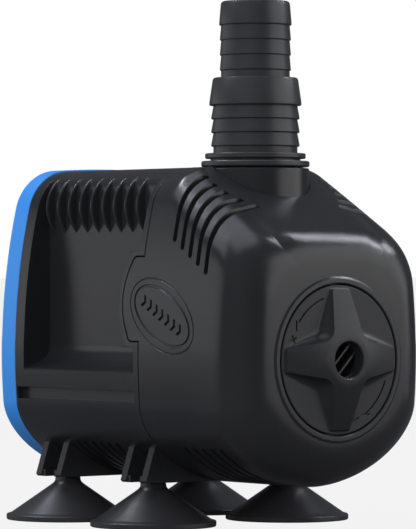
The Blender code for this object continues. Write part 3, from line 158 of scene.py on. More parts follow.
# Grip recess
RECESS_X = 32.8
RECESS_FRONT_Y = -8.2
RECESS_REAR_Y = 58.9
RECESS_FLOOR_Z = 59.9
RECESS_FLOOR_SLOPE = 0.307
RECESS_FILLET = 5.0
SILL_ROUND = 1.2
SILL_LEAN = 0.1
LIP_RADIUS = 13.0
LIP_ANGLE = math.radians(55.0)
LIP_TRIM = 0.2
RECESS_TOP_Z = 127.6
RECESS_TOP_X = 29.5
RECESS_TURN_LOW_Z = 121.5
RECESS_TURN_Z = 125.8
FIN_FIRST_Y = 55.5
FIN_PITCH = 6.89
FIN_COUNT = 9
FIN_THICKNESS = 1.4
FIN_LOW_ANGLE = math.radians(-52.0)
FIN_HIGH_ANGLE = math.radians(64.0)
FIN_STEPS = 8
SIDE_GROOVE_LOW_Z = 44.9
SIDE_GROOVE_HIGH_Z = 49.3
SIDE_GROOVE_DEPTH = 2.8
SIDE_GROOVE_FRONT_Y = -8.4
SIDE_GROOVE_END = 0.8

# Foot brackets
PLATE_LOW_Z = 16.0
PLATE_HIGH_Z = 18.5
PLATE_OVERCUT = 0.2
STEM_PLAY = 0.3
BRACKET_PITCH = 12.2
BRACKET_WALL = 3.2
BRACKET_INNER_X = 6.0
BRACKET_LOW_X = 40.6
BRACKET_HIGH_X = 36.5
BRACKET_HIGH_Z = 29.4
BRACKET_CHAMFER = 0.8
BRACKET_TOP_CHAMFER = 0.6
BRACKET_TOP_LEAN = 0.2
BRACKET_SLOT_STEPS = 10

# Suction cups, with outlines as (radius, height)
CUP_X = 31.5
CUP_FRONT_Y = -2.56
CUP_REAR_Y = 49.5
CUP_RADIUS = 22.9
CUP_STEM_RADIUS = 2.4
CUP_STEM_HIGH_Z = 18.8
CUP_STEM_LOW_Z = 15.7
CUP_HEAD = [(0.0, 22.2), (1.6, 22.0), (2.9, 21.4), (3.7, 20.5), (4.0, 19.6), (3.8, 18.9)]
CUP_NECK = [(4.4, CUP_STEM_LOW_Z), (4.7, 15.4), (4.75, 14.6)]
CUP_FLARE = ((4.75, 14.6), (4.9, 13.8), (6.2, 12.9))
CUP_FLARE_STEPS = 6
CUP_SKIRT = [(20.6, 2.9), (21.2, 2.5), (22.6, 2.1)]
CUP_RIM_HIGH_Z = 1.8
CUP_RIM_LOW_Z = 0.3
CUP_HOLLOW = [(22.6, 0.0), (20.9, 0.0), (18.4, 1.3), (9.0, 4.6), (0.0, 6.0)]

# Pump chamber, outlet and rotor well
ROTOR_Z = 64.0
WELL_SEAT_RADIUS = 18.9
WELL_SEAT_Y = 1.2
WELL_HOLE_RADIUS = 15.8
WELL_OVERCUT = 0.5
OUTLET_Y = -22.5
BOSS_RADIUS = 19.6
BOSS_LOW_Z = 104.0
BOSS_TOP_Z = 129.8
BOSS_EDGE = 0.4
NOTCH_RADIUS = 19.75
NOTCH_STEPS = 64
CHAMBER_RADIUS = 29.5
CHAMBER_FRONT_Y = -37.0
CHAMBER_REAR_Y = -4.1
CHAMBER_BORE_RADIUS = 22.5
PIPE_RADIUS = 14.0
PIPE_BORE_RADIUS = 11.5
SOCKET_RADIUS = 15.0
SOCKET_LOW_Z = 117.0

# Hose tail, with the big barb and the end as (radius, height over the last small barb)
TAIL_BORE_RADIUS = 10.0
TAIL_TOP_Z = 190.5
PLUG_GAP = 0.3
PLUG_RADIUS = 14.7
SEAL_SEAT_RADIUS = 12.8
SEAL_LOW_Z = 123.0
SEAL_HIGH_Z = 125.3
COLLAR_SEAT_RADIUS = 17.3
COLLAR_SEAT_Z = 130.1
COLLAR_RADIUS = 19.7
COLLAR_LOW_Z = 130.3
COLLAR_HIGH_Z = 132.4
COLLAR_EDGE = 0.4
FLANGE_NECK_RADIUS = 16.35
FLANGE_RADIUS = 18.3
FLANGE_LOW_Z = 133.3
FLANGE_HIGH_Z = 135.2
FLANGE_EDGE = 0.3
BARB_COUNT = 3
BARB_LIP = 0.25
BARB_LIP_HEIGHT = 0.8
BARB_LIP_FALL = 0.05
BARB_GAP = 0.15
LOWER_ROOT_RADIUS = 15.3
LOWER_TIP_RADIUS = 16.1
LOWER_FIRST_Z = 137.7
LOWER_PITCH = 4.97
UPPER_ROOT_RADIUS = 12.5
UPPER_TIP_RADIUS = 12.95
UPPER_FIRST_Z = 165.3
UPPER_PITCH = 5.5
BIG_BARB = [(15.3, 0.0), (16.5, 0.0), (16.8, 0.29), (16.75, 1.19), (15.6, 9.29), (15.2, 9.99), (14.9, 10.09),
            (12.52, 10.09)]
TAIL_END = [(12.5, 0.0), (12.95, 0.0), (13.2, 0.25), (13.15, 1.1), (12.6, 7.8), (12.3, 8.4), (11.8, 8.7),
            (10.4, 8.7), (TAIL_BORE_RADIUS, 8.3)]
TAIL_SMOOTHING = 28.0

# Flow dial in its bezel
DIAL_Z = 61.1
DIAL_FACE_Y = -69.4
DIAL_BORE_RADIUS = 27.0
DIAL_BORE_CHAMFER = 0.35
DIAL_GAP = 0.45
DIAL_PLAY = 0.3
DIAL_EDGE = 0.25
BEZEL_RADIUS = 29.8
BEZEL_RISE = 0.6
BEZEL_SLOPE = 1.0
BEZEL_FOOT = 0.15
LEDGE_FRONT_Y = -65.5
LEDGE_REAR_Y = -62.7
LEDGE_RADIUS = 22.4
KNOB_TOP_Y = -75.0
KNOB_ARM_RADIUS = 24.8
KNOB_TIP_HALF_WIDTH = 3.95
KNOB_WAIST = 6.1
KNOB_FILLET = 12.6
KNOB_INNER = 6.3
KNOB_HEIGHT = 5.6
KNOB_TIP_HEIGHT = 1.1
KNOB_FALL_POWER = 1.15
KNOB_FLARE = 0.95
KNOB_FOOT = 3.0
KNOB_FLARE_SHARES = (0.06, 0.13, 0.21, 0.3, 0.4, 0.5, 0.6, 0.72, 0.86, 1.0)
KNOB_TIP_STEPS = 4
KNOB_FLANK_STEPS = 8
KNOB_FILLET_STEPS = 20
KNOB_TOP_STEPS = 6
HUB_RADIUS = 8.6
HUB_BORE_RADIUS = 6.5
HUB_CHAMFER = 0.35
HUB_DEPTH = 10.5
HUB_RING = 0.5
HUB_PRESS = 0.05
HUB_BAR_SINK = 0.2
HUB_BAR_WIDTH = 0.8
HUB_BAR_OFFSET = 1.9
HUB_BAR_TURN = math.radians(45.0)

# Dial marks: arcs in degrees, strokes as radius, angle, own turn and length
MARK_RADIUS = 22.9
MARK_WIDTH = 0.5
MARK_DEPTH = 0.6
MARK_OVERCUT = 0.5
PLUS_ARC = (108.6, 144.0)
PLUS_STROKES = ((23.1, 148.2, 90.0, 3.9), (22.4, 160.6, 20.0, 3.0), (22.4, 160.6, 110.0, 3.0))
MINUS_ARC = (-59.5, -20.0)
MINUS_STROKES = ((23.2, -58.0, 0.0, 3.8), (22.6, -70.0, 20.0, 2.9))

# Oval on the side of the cage, its two grooves as half length, half height, width and depth
OVAL_Y = -24.1
OVAL_Z = 76.5
OVAL_TILT = math.radians(-26.0)
OVAL_GROOVES = ((20.2, 11.6, 0.45, 0.35), (17.9, 8.9, 0.9, 0.55))
CHEVRON_PITCH = 3.9
CHEVRON_REACH = 3
CHEVRON_DEPTH = 0.9
CHEVRON = [(-1.3, -2.1), (-0.1, -2.1), (1.2, 0.0), (-0.1, 2.1), (-1.3, 2.1), (0.0, 0.0)]

# Camera of the photograph and studio, in metres and watts
CAMERA_PLACE = (-0.8757, -1.0927, 0.09485)
CAMERA_YAW = math.radians(-38.578)
CAMERA_LENS = 258.7
CAMERA_SENSOR = 36.0
CAMERA_CLIP_END = 100.0
FLOOR_SIZE = 40.0
FLOOR_Z = -0.0003
FLOOR_GLOW = 0.88
LIGHT_AIM = (0.0, 0.0, 0.08)
WORLD_STRENGTH = 0.11
WHITE = (1.0, 1.0, 1.0)
COOL = (0.88, 0.9, 1.0)
COOLER = (0.86, 0.88, 1.0)

# Mould texture, in metres and per metre
GRAIN_SCALE = 2600.0
DRIFT_SCALE = 14.0
GRAIN_STRENGTH = 0.35
EDGE_SOFTNESS = 0.0004
SMOOTHING = 32.0


def activate(piece):
    """Select one piece alone"""
    bpy.ops.object.select_all(action="DESELECT")
    piece.select_set(True)
    bpy.context.view_layer.objects.active = piece


def skin(name, rows, closed=True, caps=True):
    """A grid primitive laid over rows of points, seams merged and open ends filled"""
    rows = [list(row) + [row[0]] if closed else list(row) for row in rows]
    across = len(rows[0]) - 1
    down = len(rows) - 1
    bpy.ops.object.select_all(action="DESELECT")
    bpy.ops.mesh.primitive_grid_add(x_subdivisions=across, y_subdivisions=down, size=1.0)
    piece = bpy.context.object
    piece.name = name
    for vertex in piece.data.vertices:
        column = round((vertex.co.x + 0.5) * across)
        row = round((vertex.co.y + 0.5) * down)
        vertex.co = Vector(rows[row][column]) * MM
    bpy.ops.object.mode_set(mode="EDIT")
    bpy.ops.mesh.select_all(action="SELECT")
    bpy.ops.mesh.remove_doubles(threshold=MERGE)
    if caps:
        bpy.ops.mesh.fill_holes(sides=0)
        bpy.ops.mesh.select_all(action="SELECT")
    bpy.ops.mesh.normals_make_consistent(inside=False)
    bpy.ops.object.mode_set(mode="OBJECT")
    return piece


def prism(name, outline, axis, start, end):
    """A flat outline pulled along X, Y or Z"""
    order = {"X": (2, 0, 1), "Y": (0, 2, 1), "Z": (0, 1, 2)}[axis]
    rows = []
    for along in (start, end):
        rows.append([tuple((first, second, along)[k] for k in order) for first, second in outline])
    return skin(name, rows)


def turned(name, profile, axis, centre, steps=LATHE_STEPS):
    """A profile of (radius, height) spun round an axis; a profile off the axis closes on itself"""
    if profile[0][0] > 0.0:
        profile = list(profile) + [profile[0]]
    rows = []
    for radius, height in profile:
        row = []
        for step in range(steps):
            angle = 2.0 * math.pi * step / steps
            across = centre[0] + radius * math.cos(angle)
            other = centre[1] + radius * math.sin(angle)
            row.append((across, height, other) if axis == "Y" else (across, other, height))
        rows.append(row)
    return skin(name, rows, caps=False)


def gather(pieces):
    """Join cutting tools into one"""
    activate(pieces[0])
    for piece in pieces:
        piece.select_set(True)
    bpy.ops.object.join()
    return pieces[0]


def carve(piece, tool, operation="DIFFERENCE"):
    """Cut a tool out of a piece, or weld it on, and throw the tool away"""
    activate(piece)
    modifier = piece.modifiers.new("carve", "BOOLEAN")
    modifier.operation = operation
    modifier.object = tool
    modifier.solver = "MANIFOLD"
    bpy.ops.object.modifier_apply(modifier=modifier.name)
    bpy.data.objects.remove(tool)


def smooth(piece, degrees=SMOOTHING):
    activate(piece)
    bpy.ops.object.shade_smooth_by_angle(angle=math.radians(degrees))


def curve(first, control, last, steps):
    """Points of a curve that leaves and arrives along the lines to its control point"""
    points = []
    for step in range(steps + 1):
        t = step / steps
        points.append(tuple((1 - t) ** 2 * a + 2 * t * (1 - t) * b + t ** 2 * c
                            for a, b, c in zip(first, control, last)))
    return points


def arc(centre, radius, start, end, steps=ARC_STEPS):
    angles = [start + (end - start) * step / steps for step in range(steps + 1)]
    return [(centre[0] + radius * math.cos(a), centre[1] + radius * math.sin(a)) for a in angles]


def side_x(z):
    """Half width of the bowed side at a height"""
    return HALF_WIDTH - (z - WIDEST_Z) ** 2 / (2.0 * SIDE_BOW)


def soft_min(first, second):
    """The smaller of two lengths, eased where they cross"""
    near = max(CREASE_SOFTNESS - abs(first - second), 0.0) / CREASE_SOFTNESS
    return min(first, second) - near * near * CREASE_SOFTNESS / 4.0


def keel_point(share, inset):
    """Point of the rounded belly, from its middle at share 0 to the side at share 1"""
    turn = QUARTER_TURN * share
    x = (side_x(KEEL_TOP_Z) - inset) * math.sin(turn) ** (2.0 / KEEL_POWER)
    z = KEEL_TOP_Z - (KEEL_TOP_Z - KEEL_Z - inset) * math.cos(turn) ** (2.0 / KEEL_POWER)
    return (x, z)


def shoulder_round(top, radius, tall):
    """Centre of a shoulder round, its angle where it leaves the leaning side and the height of that place"""
    lean = 0.0
    for _ in range(LEAN_PASSES):
        start = top - tall * (1.0 - math.sin(lean))
        lean = math.atan((start - WIDEST_Z) / SIDE_BOW * radius / tall)
    return (side_x(start) - radius * math.cos(lean), start - tall * math.sin(lean)), lean, start


def shoulder_profile(top, radius, stretch):
    """Side, shoulder and roof edge of a section whose shoulder is stretched upwards"""
    tall = radius * stretch
    centre, lean, start = shoulder_round(top, radius, tall)
    heights = [POLE_Z + (start - POLE_Z) * step / ARC_STEPS for step in range(ARC_STEPS)]
    points = [(side_x(z), z) for z in heights]
    for step in range(ARC_STEPS + 1):
        turn = lean + (QUARTER_TURN - lean) * step / ARC_STEPS
        points.append((centre[0] + radius * math.cos(turn), centre[1] + tall * math.sin(turn)))
    return points + [(0.0, top)]


def reaches(profile):
    """Distances from the pole to a profile in equal steps of angle, from level to upright"""
    polar = [(math.atan2(z - POLE_Z, x - POLE_X), math.hypot(x - POLE_X, z - POLE_Z)) for x, z in profile]
    found = []
    index = 0
    for step in range(FAN_STEPS + 1):
        angle = QUARTER_TURN * step / FAN_STEPS
        while index < len(polar) - 2 and polar[index + 1][0] < angle:
            index += 1
        share = (angle - polar[index][0]) / (polar[index + 1][0] - polar[index][0])
        found.append(polar[index][1] + (polar[index + 1][1] - polar[index][1]) * share)
    return found


def shoulder(y, inset):
    """Upper side and shoulder at a place along the pump: the level body mitred with the sloping roof"""
    share = min(max((SEAM_Y - y) / (SEAM_Y - BEND_Y), 0.0), 1.0)
    radius = SHOULDER_RADIUS + (ROOF_SHOULDER_RADIUS - SHOULDER_RADIUS) * share
    level = reaches(shoulder_profile(TOP_Z, radius, 1.0))
    sloped = reaches(shoulder_profile(TOP_Z - ROOF_SLOPE * (BEND_Y - y), ROOF_SHOULDER_RADIUS,
                                      math.hypot(1.0, ROOF_SLOPE)))
    points = []
    for step, pair in enumerate(zip(level, sloped)):
        angle = QUARTER_TURN * step / FAN_STEPS
        reach = soft_min(*pair) - inset * (1.0 + CORNER_WALL_SHARE * math.sin(2.0 * angle))
        points.append((POLE_X + reach * math.cos(angle), POLE_Z + reach * math.sin(angle)))
    return points


def half_section(y, inset=0.0):
    """Right half of the casing section at a place along the pump, from the belly to the middle of the top"""
    points = [keel_point(step / KEEL_STEPS, inset) for step in range(KEEL_STEPS)]
    for step in range(SIDE_STEPS):
        z = KEEL_TOP_Z + (POLE_Z - KEEL_TOP_Z) * step / SIDE_STEPS
        points.append((side_x(z) - inset, z))
    points += shoulder(y, inset)
    top = points[-1][1]
    shares = [1.0 - step / CROWN_STEPS for step in range(1, CROWN_STEPS + 1)]
    return points + [(POLE_X * share, top + CROWN * (1.0 - share ** 2)) for share in shares]


def ring(half, y):
    """Closed ring of a half section and its mirror image at a place along the pump"""
    full = half + [(-x, z) for x, z in reversed(half[1:-1])]
    return [(x, y, z) for x, z in full]


def drawn_in(half, side_in, top_in, keel_in):
    """A half section drawn in at its side, top and keel, about its widest height"""
    keel = half[0][1]
    top = half[-1][1]
    points = []
    for x, z in half:
        x = x * (HALF_WIDTH - side_in) / HALF_WIDTH
        if z > WIDEST_Z:
            z = WIDEST_Z + (z - WIDEST_Z) * (top - top_in - WIDEST_Z) / (top - WIDEST_Z)
        else:
            z = WIDEST_Z - (WIDEST_Z - z) * (WIDEST_Z - keel - keel_in) / (WIDEST_Z - keel)
        points.append((x, z))
    return points


def round_in(radius, distance):
    """How far a round of this radius draws in at a distance from the end face"""
    if distance >= radius:
        return 0.0
    return radius - math.sqrt(radius ** 2 - (radius - distance) ** 2)


def end_distances(radius):
    """Distances from the end face that follow a round in equal steps of angle"""
    return [radius * (1.0 - math.sin(QUARTER_TURN * step / ROUND_STEPS)) for step in range(ROUND_STEPS + 1)]


def cage_rings(rear, inset):
    """Rings of the cage from its rear over the bend of the roof to the rounded nose"""
    front = FRONT_Y + inset
    bend = [BEND_Y + BEND_REACH - BEND_RING_PITCH * step for step in range(BEND_RINGS)]
    nose = [front + away for away in end_distances(KEEL_ROUND - inset)]
    reach = bend[-1] - nose[0]
    middle = [bend[-1] - reach * step / ROOF_STEPS for step in range(1, ROOF_STEPS)]
    rings = []
    for y in [rear] + bend + middle + nose:
        away = y - front
        half = drawn_in(half_section(y, inset), round_in(SIDE_ROUND - inset, away),
                        round_in(ROOF_ROUND - inset, away), round_in(KEEL_ROUND - inset, away))
        rings.append(ring(half, y))
    return rings


def along_path(path, distance):
    """Place and direction at a distance along a path"""
    for first, second in zip(path, path[1:]):
        step = Vector(second) - Vector(first)
        if distance <= step.length or second is path[-1]:
            return Vector(first) + step.normalized() * distance, step.normalized()
        distance -= step.length


def band(path, inward, outward, y, width):
    """Cutting band along a stretch of the section, its two ends rounded"""
    length = sum((Vector(second) - Vector(first)).length for first, second in zip(path, path[1:]))
    half = width / 2.0
    turns = [QUARTER_TURN * step / BAND_END_STEPS for step in range(BAND_END_STEPS + 1)]
    ends = [half * (1.0 - math.cos(turn)) for turn in turns]
    inside = [half + (length - width) * step / BAND_STEPS for step in range(1, BAND_STEPS)]
    rows = []
    for distance in ends + inside + [length - end for end in reversed(ends)]:
        place, way = along_path(path, distance)
        near = min(distance, length - distance, half)
        wide = max(math.sqrt(half ** 2 - (half - near) ** 2), SLOT_TIP_WIDTH)
        inner = (place.x - way.y * inward, place.y + way.x * inward)
        outer = (place.x + way.y * outward, place.y - way.x * outward)
        rows.append([(inner[0], y - wide, inner[1]), (inner[0], y + wide, inner[1]),
                     (outer[0], y + wide, outer[1]), (outer[0], y - wide, outer[1])])
    return skin("band", rows)


def belly_path():
    """Stretch of the belly that carries a slot or groove"""
    fine = [keel_point(step / BELLY_STEPS, 0.0) for step in range(BELLY_STEPS + 1)]
    return [point for point in fine if point[0] > BELLY_INNER_X and point[1] < BELLY_TOP_Z][::2]


def both_sides(path):
    return [path, [(-x, z) for x, z in reversed(path)]]


def tab_outline(grow):
    """Latch tab seen from the side as (y, z), grown on all sides"""
    back = SEAM_Y + TAB_LENGTH + grow
    low = TAB_LOW_Z - grow
    high = TAB_HIGH_Z + grow
    low_end = (back + TAB_CORNER_OUT, low + TAB_CORNER_RISE)
    high_end = (back + TAB_CORNER_OUT, high - TAB_CORNER_RISE)
    round_low = curve((back - TAB_CORNER, low), (back, low), low_end, TAB_CORNER_STEPS)
    round_high = curve(high_end, (back, high), (back - TAB_CORNER, high), TAB_CORNER_STEPS)
    bulge = curve(low_end, (back + 2.0 * TAB_BULGE, (low + high) / 2.0), high_end, TAB_STEPS)
    return [(SEAM_Y + grow, low)] + round_low[:-1] + bulge + round_high[1:] + [(SEAM_Y + grow, high)]


def recess_profile(low, high):
    """Grip recess seen from the end as (x, z): sill, filleted floor, wall and turned-over top"""
    floor_end = RECESS_X + RECESS_FILLET
    floor_z = RECESS_FLOOR_Z - RECESS_FLOOR_SLOPE * RECESS_FILLET
    wall_low = (RECESS_X, RECESS_FLOOR_Z + RECESS_FILLET)
    fillet = curve((floor_end, floor_z), (RECESS_X, RECESS_FLOOR_Z), wall_low, RECESS_FILLET_STEPS)
    over = curve((RECESS_X, RECESS_TURN_LOW_Z), (RECESS_X, RECESS_TURN_Z), (RECESS_TOP_X, RECESS_TOP_Z),
                 RECESS_TURN_STEPS)
    edge_x = side_x(RECESS_FLOOR_Z)
    edge_z = floor_z - RECESS_FLOOR_SLOPE * (edge_x - floor_end)
    sill = curve((edge_x + SILL_LEAN, edge_z - SILL_ROUND), (edge_x, edge_z),
                 (edge_x - SILL_ROUND, edge_z + RECESS_FLOOR_SLOPE * SILL_ROUND), SILL_STEPS)
    outline = [(FAR, edge_z - SILL_ROUND)] + sill + fillet + over + [(FAR, RECESS_TOP_Z)]
    kept = [point for point in outline if low < point[1] < high]
    if low > RECESS_FLOOR_Z:
        kept = [(FAR, low), (RECESS_X, low)] + kept
    if high < RECESS_TURN_LOW_Z:
        kept = kept + [(RECESS_X, high), (FAR, high)]
    return kept


def mirrored_prisms(name, outline, start, end):
    return gather([prism(name, outline, "Y", start, end),
                   prism(name, [(-x, z) for x, z in outline], "Y", start, end)])


def side_prisms(name, outline, inner):
    """The same (y, z) outline pulled outwards on both sides of the pump"""
    return gather([prism(name, outline, "X", side * inner, side * FAR) for side in (-1, 1)])


def add_brackets(shell):
    """Forked foot brackets with a slot that is open to the side"""
    walls = []
    plates = []
    slots = []
    plate_end = BRACKET_LOW_X - BRACKET_CHAMFER
    profile = [(BRACKET_INNER_X, PLATE_LOW_Z), (plate_end, PLATE_LOW_Z),
               (BRACKET_LOW_X, PLATE_LOW_Z + BRACKET_CHAMFER),
               (BRACKET_HIGH_X + BRACKET_TOP_LEAN, BRACKET_HIGH_Z - BRACKET_TOP_CHAMFER),
               (BRACKET_HIGH_X - BRACKET_TOP_CHAMFER, BRACKET_HIGH_Z), (BRACKET_INNER_X, BRACKET_HIGH_Z)]
    plate = [(BRACKET_INNER_X, PLATE_LOW_Z), (plate_end, PLATE_LOW_Z), (plate_end, PLATE_HIGH_Z),
             (BRACKET_INNER_X, PLATE_HIGH_Z)]
    slot = CUP_STEM_RADIUS + STEM_PLAY
    reach = BRACKET_PITCH / 2.0
    thick = BRACKET_WALL / 2.0
    for side in (-1, 1):
        wall_outline = [(side * x, z) for x, z in profile]
        plate_outline = [(side * x, z) for x, z in plate]
        for cup_y in (CUP_FRONT_Y, CUP_REAR_Y):
            for middle in (cup_y - reach, cup_y + reach):
                walls.append(prism("wall", wall_outline, "Y", middle - thick, middle + thick))
            plates.append(prism("plate", plate_outline, "Y", cup_y - reach, cup_y + reach))
            bend = arc((CUP_X, cup_y), slot, QUARTER_TURN, 3.0 * QUARTER_TURN, BRACKET_SLOT_STEPS)
            path = [(FAR, cup_y + slot)] + bend + [(FAR, cup_y - slot)]
            slots.append(prism("slot", [(side * x, y) for x, y in path], "Z",
                               PLATE_LOW_Z - OVERCUT, PLATE_HIGH_Z + PLATE_OVERCUT))
    carve(shell, gather(walls), "UNION")
    carve(shell, gather(plates), "UNION")
    carve(shell, gather(slots))


def grip_fin(front, side):
    """Crescent fin in the top of the grip recess, its edge fully rounded"""
    (x, z), _, _ = shoulder_round(TOP_Z, SHOULDER_RADIUS, SHOULDER_RADIUS)
    away = SHOULDER_RADIUS - LIP_RADIUS
    centre = (x + away * math.cos(LIP_ANGLE), z + away * math.sin(LIP_ANGLE))
    half = FIN_THICKNESS / 2.0
    rows = []
    for step in range(FIN_STEPS + 1):
        across = -math.cos(math.pi * step / FIN_STEPS) * half
        radius = LIP_RADIUS - half + math.sqrt(max(half ** 2 - across ** 2, 0.0))
        edge = arc(centre, radius, FIN_LOW_ANGLE, FIN_HIGH_ANGLE)
        rows.append([(side * px, front + half + across, pz) for px, pz in edge])
    return skin("fin", rows)


def carve_grips(shell):
    """Grip recesses round the tab's lip, with their fins, side grooves and tab notches"""
    lip_y = TAB_TIP_Y + TAB_LIP
    lip_low = TAB_LOW_Z - TAB_LIP
    lip_high = TAB_HIGH_Z + TAB_LIP
    lip_end = lip_y + OVERCUT
    carve(shell, mirrored_prisms("recess", recess_profile(0.0, TOP_Z), lip_y, RECESS_REAR_Y))
    carve(shell, mirrored_prisms("over", recess_profile(lip_high, TOP_Z), RECESS_FRONT_Y, lip_end))
    carve(shell, mirrored_prisms("under", recess_profile(0.0, lip_low), RECESS_FRONT_Y, lip_end))
    lip = [(y, z) for y, z in tab_outline(TAB_LIP) if lip_low + LIP_TRIM < z < lip_high - LIP_TRIM]
    carve(shell, side_prisms("lip", lip + [(lip_end, lip_high), (lip_end, lip_low)], RECESS_X))
    fins = []
    for side in (-1, 1):
        for index in range(FIN_COUNT):
            fins.append(grip_fin(FIN_FIRST_Y - index * FIN_PITCH, side))
    carve(shell, gather(fins), "UNION")
    groove_x = side_x((SIDE_GROOVE_LOW_Z + SIDE_GROOVE_HIGH_Z) / 2.0) - SIDE_GROOVE_DEPTH
    groove = [(groove_x, SIDE_GROOVE_LOW_Z), (FAR, SIDE_GROOVE_LOW_Z), (FAR, SIDE_GROOVE_HIGH_Z),
              (groove_x, SIDE_GROOVE_HIGH_Z)]
    carve(shell, mirrored_prisms("groove", groove, SIDE_GROOVE_FRONT_Y, REAR_SEAM_Y - SIDE_GROOVE_END))
    notch = tab_outline(SEAM_GAP)
    notch = [(SEAM_Y - OVERCUT, notch[0][1])] + notch + [(SEAM_Y - OVERCUT, notch[-1][1])]
    carve(shell, side_prisms("notch", notch, side_x(TAB_HIGH_Z) - WALL - TAB_PLAY))


def seam_spigot():
    """Collar inside the housing mouth that closes the seam to the cage"""
    outer = half_section(0.0, WALL + SPIGOT_GAP)
    inner = half_section(0.0, WALL + SPIGOT_GAP + SPIGOT_WALL)
    seat = half_section(0.0, WALL / 2.0)
    front = SEAM_Y - SPIGOT_REACH
    step = SEAM_Y + 2.0 * SEAM_GAP
    rear = step + SPIGOT_REACH
    rows = [ring(outer, front), ring(outer, step), ring(seat, step), ring(seat, rear), ring(inner, rear),
            ring(inner, front), ring(outer, front)]
    return skin("spigot", rows, caps=False)


def carve_motor_rooms(shell):
    """Motor cavity and front mouth with the bulkhead between them, its well hole and the boss room"""
    half = [(min(x, RECESS_X - WALL), z) for x, z in half_section(0.0, WALL)]
    carve(shell, skin("cavity", [ring(half, BULKHEAD_REAR_Y), ring(half, REAR_SEAM_Y + OVERCUT)]))
    carve(shell, skin("mouth", [ring(half, SEAM_Y - OVERCUT), ring(half, BULKHEAD_FRONT_Y)]))
    carve(shell, seam_spigot(), "UNION")
    front = BULKHEAD_FRONT_Y - WELL_OVERCUT
    rear = BULKHEAD_REAR_Y + WELL_OVERCUT
    well = [(0.0, front), (WELL_SEAT_RADIUS, front), (WELL_SEAT_RADIUS, WELL_SEAT_Y),
            (WELL_HOLE_RADIUS, WELL_SEAT_Y), (WELL_HOLE_RADIUS, rear), (0.0, rear)]
    carve(shell, turned("well_hole", well, "Y", (0.0, ROTOR_Z)))
    low = BOSS_LOW_Z - OVERCUT
    boss = [(0.0, low), (NOTCH_RADIUS, low), (NOTCH_RADIUS, TAIL_TOP_Z), (0.0, TAIL_TOP_Z)]
    carve(shell, turned("boss_room", boss, "Z", (0.0, OUTLET_Y)))


def housing_shell():
    """Motor housing from the cage seam to the rear cover"""
    half = half_section(0.0)
    shell = skin("housing_shell", [ring(half, SEAM_Y + SEAM_GAP), ring(half, REAR_SEAM_Y)])
    add_brackets(shell)
    carve_motor_rooms(shell)
    carve_grips(shell)
    grooves = []
    for index in range(GROOVE_COUNT):
        for path in both_sides(belly_path()):
            grooves.append(band(path, GROOVE_DEPTH, WALL, GROOVE_FIRST_Y + index * GROOVE_PITCH, SLOT_WIDTH))
    carve(shell, gather(grooves))
    smooth(shell)
    return shell


def rear_shell():
    """Blue rear cover, a little proud of the housing at the top, with the hole for the cable gland"""
    half = [(x, z + COVER_RISE * max(z - POLE_Z, 0.0) / (TOP_Z - POLE_Z)) for x, z in half_section(0.0)]
    rings = [ring(half, REAR_SEAM_Y + COVER_GAP)]
    for away in end_distances(REAR_ROUND):
        back = round_in(REAR_ROUND, away)
        rings.append(ring(drawn_in(half, back, back, back), REAR_Y - away))
    shell = skin("rear_shell", rings)
    inner = half_section(0.0, WALL)
    carve(shell, skin("inside", [ring(inner, REAR_SEAM_Y - OVERCUT), ring(inner, REAR_Y - WALL)]))
    deep = REAR_Y - GLAND_DEPTH
    mouth = REAR_Y + SMALL_OVERCUT
    hole = [(0.0, deep), (GLAND_RADIUS, deep), (GLAND_RADIUS, mouth - GLAND_CHAMFER),
            (GLAND_RADIUS + GLAND_CHAMFER, mouth), (0.0, mouth)]
    carve(shell, turned("gland_hole", hole, "Y", (0.0, GLAND_Z), SMALL_LATHE_STEPS))
    smooth(shell)
    return shell


def slot_path(index):
    """Stretch of side, shoulder and roof that carries one of the upper slots"""
    y = SLOT_FIRST_Y - index * SLOT_PITCH
    low = SLOT_FIRST_LOW_Z - index * SLOT_LOW_DROP
    inner = SLOT_FIRST_INNER_X - SLOT_INNER_DROP * index * index
    over = shoulder(y, 0.0)
    share = min(inner / POLE_X, 1.0)
    roof = (inner, over[-1][1] + CROWN * (1.0 - share ** 2))
    kept = [point for point in over if point[1] > low + SLOT_LOW_TRIM and point[0] > inner + SLOT_INNER_TRIM]
    return [(side_x(low), low)] + kept + [roof]


def on_oval(along, across, depth, side):
    """Point on the cage's side, placed along and across the tilted oval and sunk by a depth"""
    y = OVAL_Y - along * math.cos(OVAL_TILT) - across * math.sin(OVAL_TILT)
    z = OVAL_Z + along * math.sin(OVAL_TILT) - across * math.cos(OVAL_TILT)
    return (side * (side_x(z) - depth), y, z)


def oval_loop(long, short, depth, side):
    angles = [2.0 * math.pi * step / OVAL_STEPS for step in range(OVAL_STEPS)]
    return [on_oval(long * math.cos(a), short * math.sin(a), depth, side) for a in angles]


def oval_groove(long, short, width, depth, side):
    """Ring-shaped tool for one groove of the oval"""
    loops = [oval_loop(long, short, -OVERCUT, side), oval_loop(long, short, depth, side),
             oval_loop(long - width, short - width, depth, side),
             oval_loop(long - width, short - width, -OVERCUT, side)]
    return skin("oval", loops + [loops[0]], caps=False)


def chevrons(side):
    """Row of small engraved chevrons along the oval, pointing the way the cage pulls off"""
    marks = []
    for step in range(-CHEVRON_REACH, CHEVRON_REACH + 1):
        base = step * CHEVRON_PITCH
        rows = [[on_oval(base + along, across, depth, side) for along, across in CHEVRON]
                for depth in (CHEVRON_DEPTH, -OVERCUT)]
        marks.append(skin("chevron", rows))
    return gather(marks)


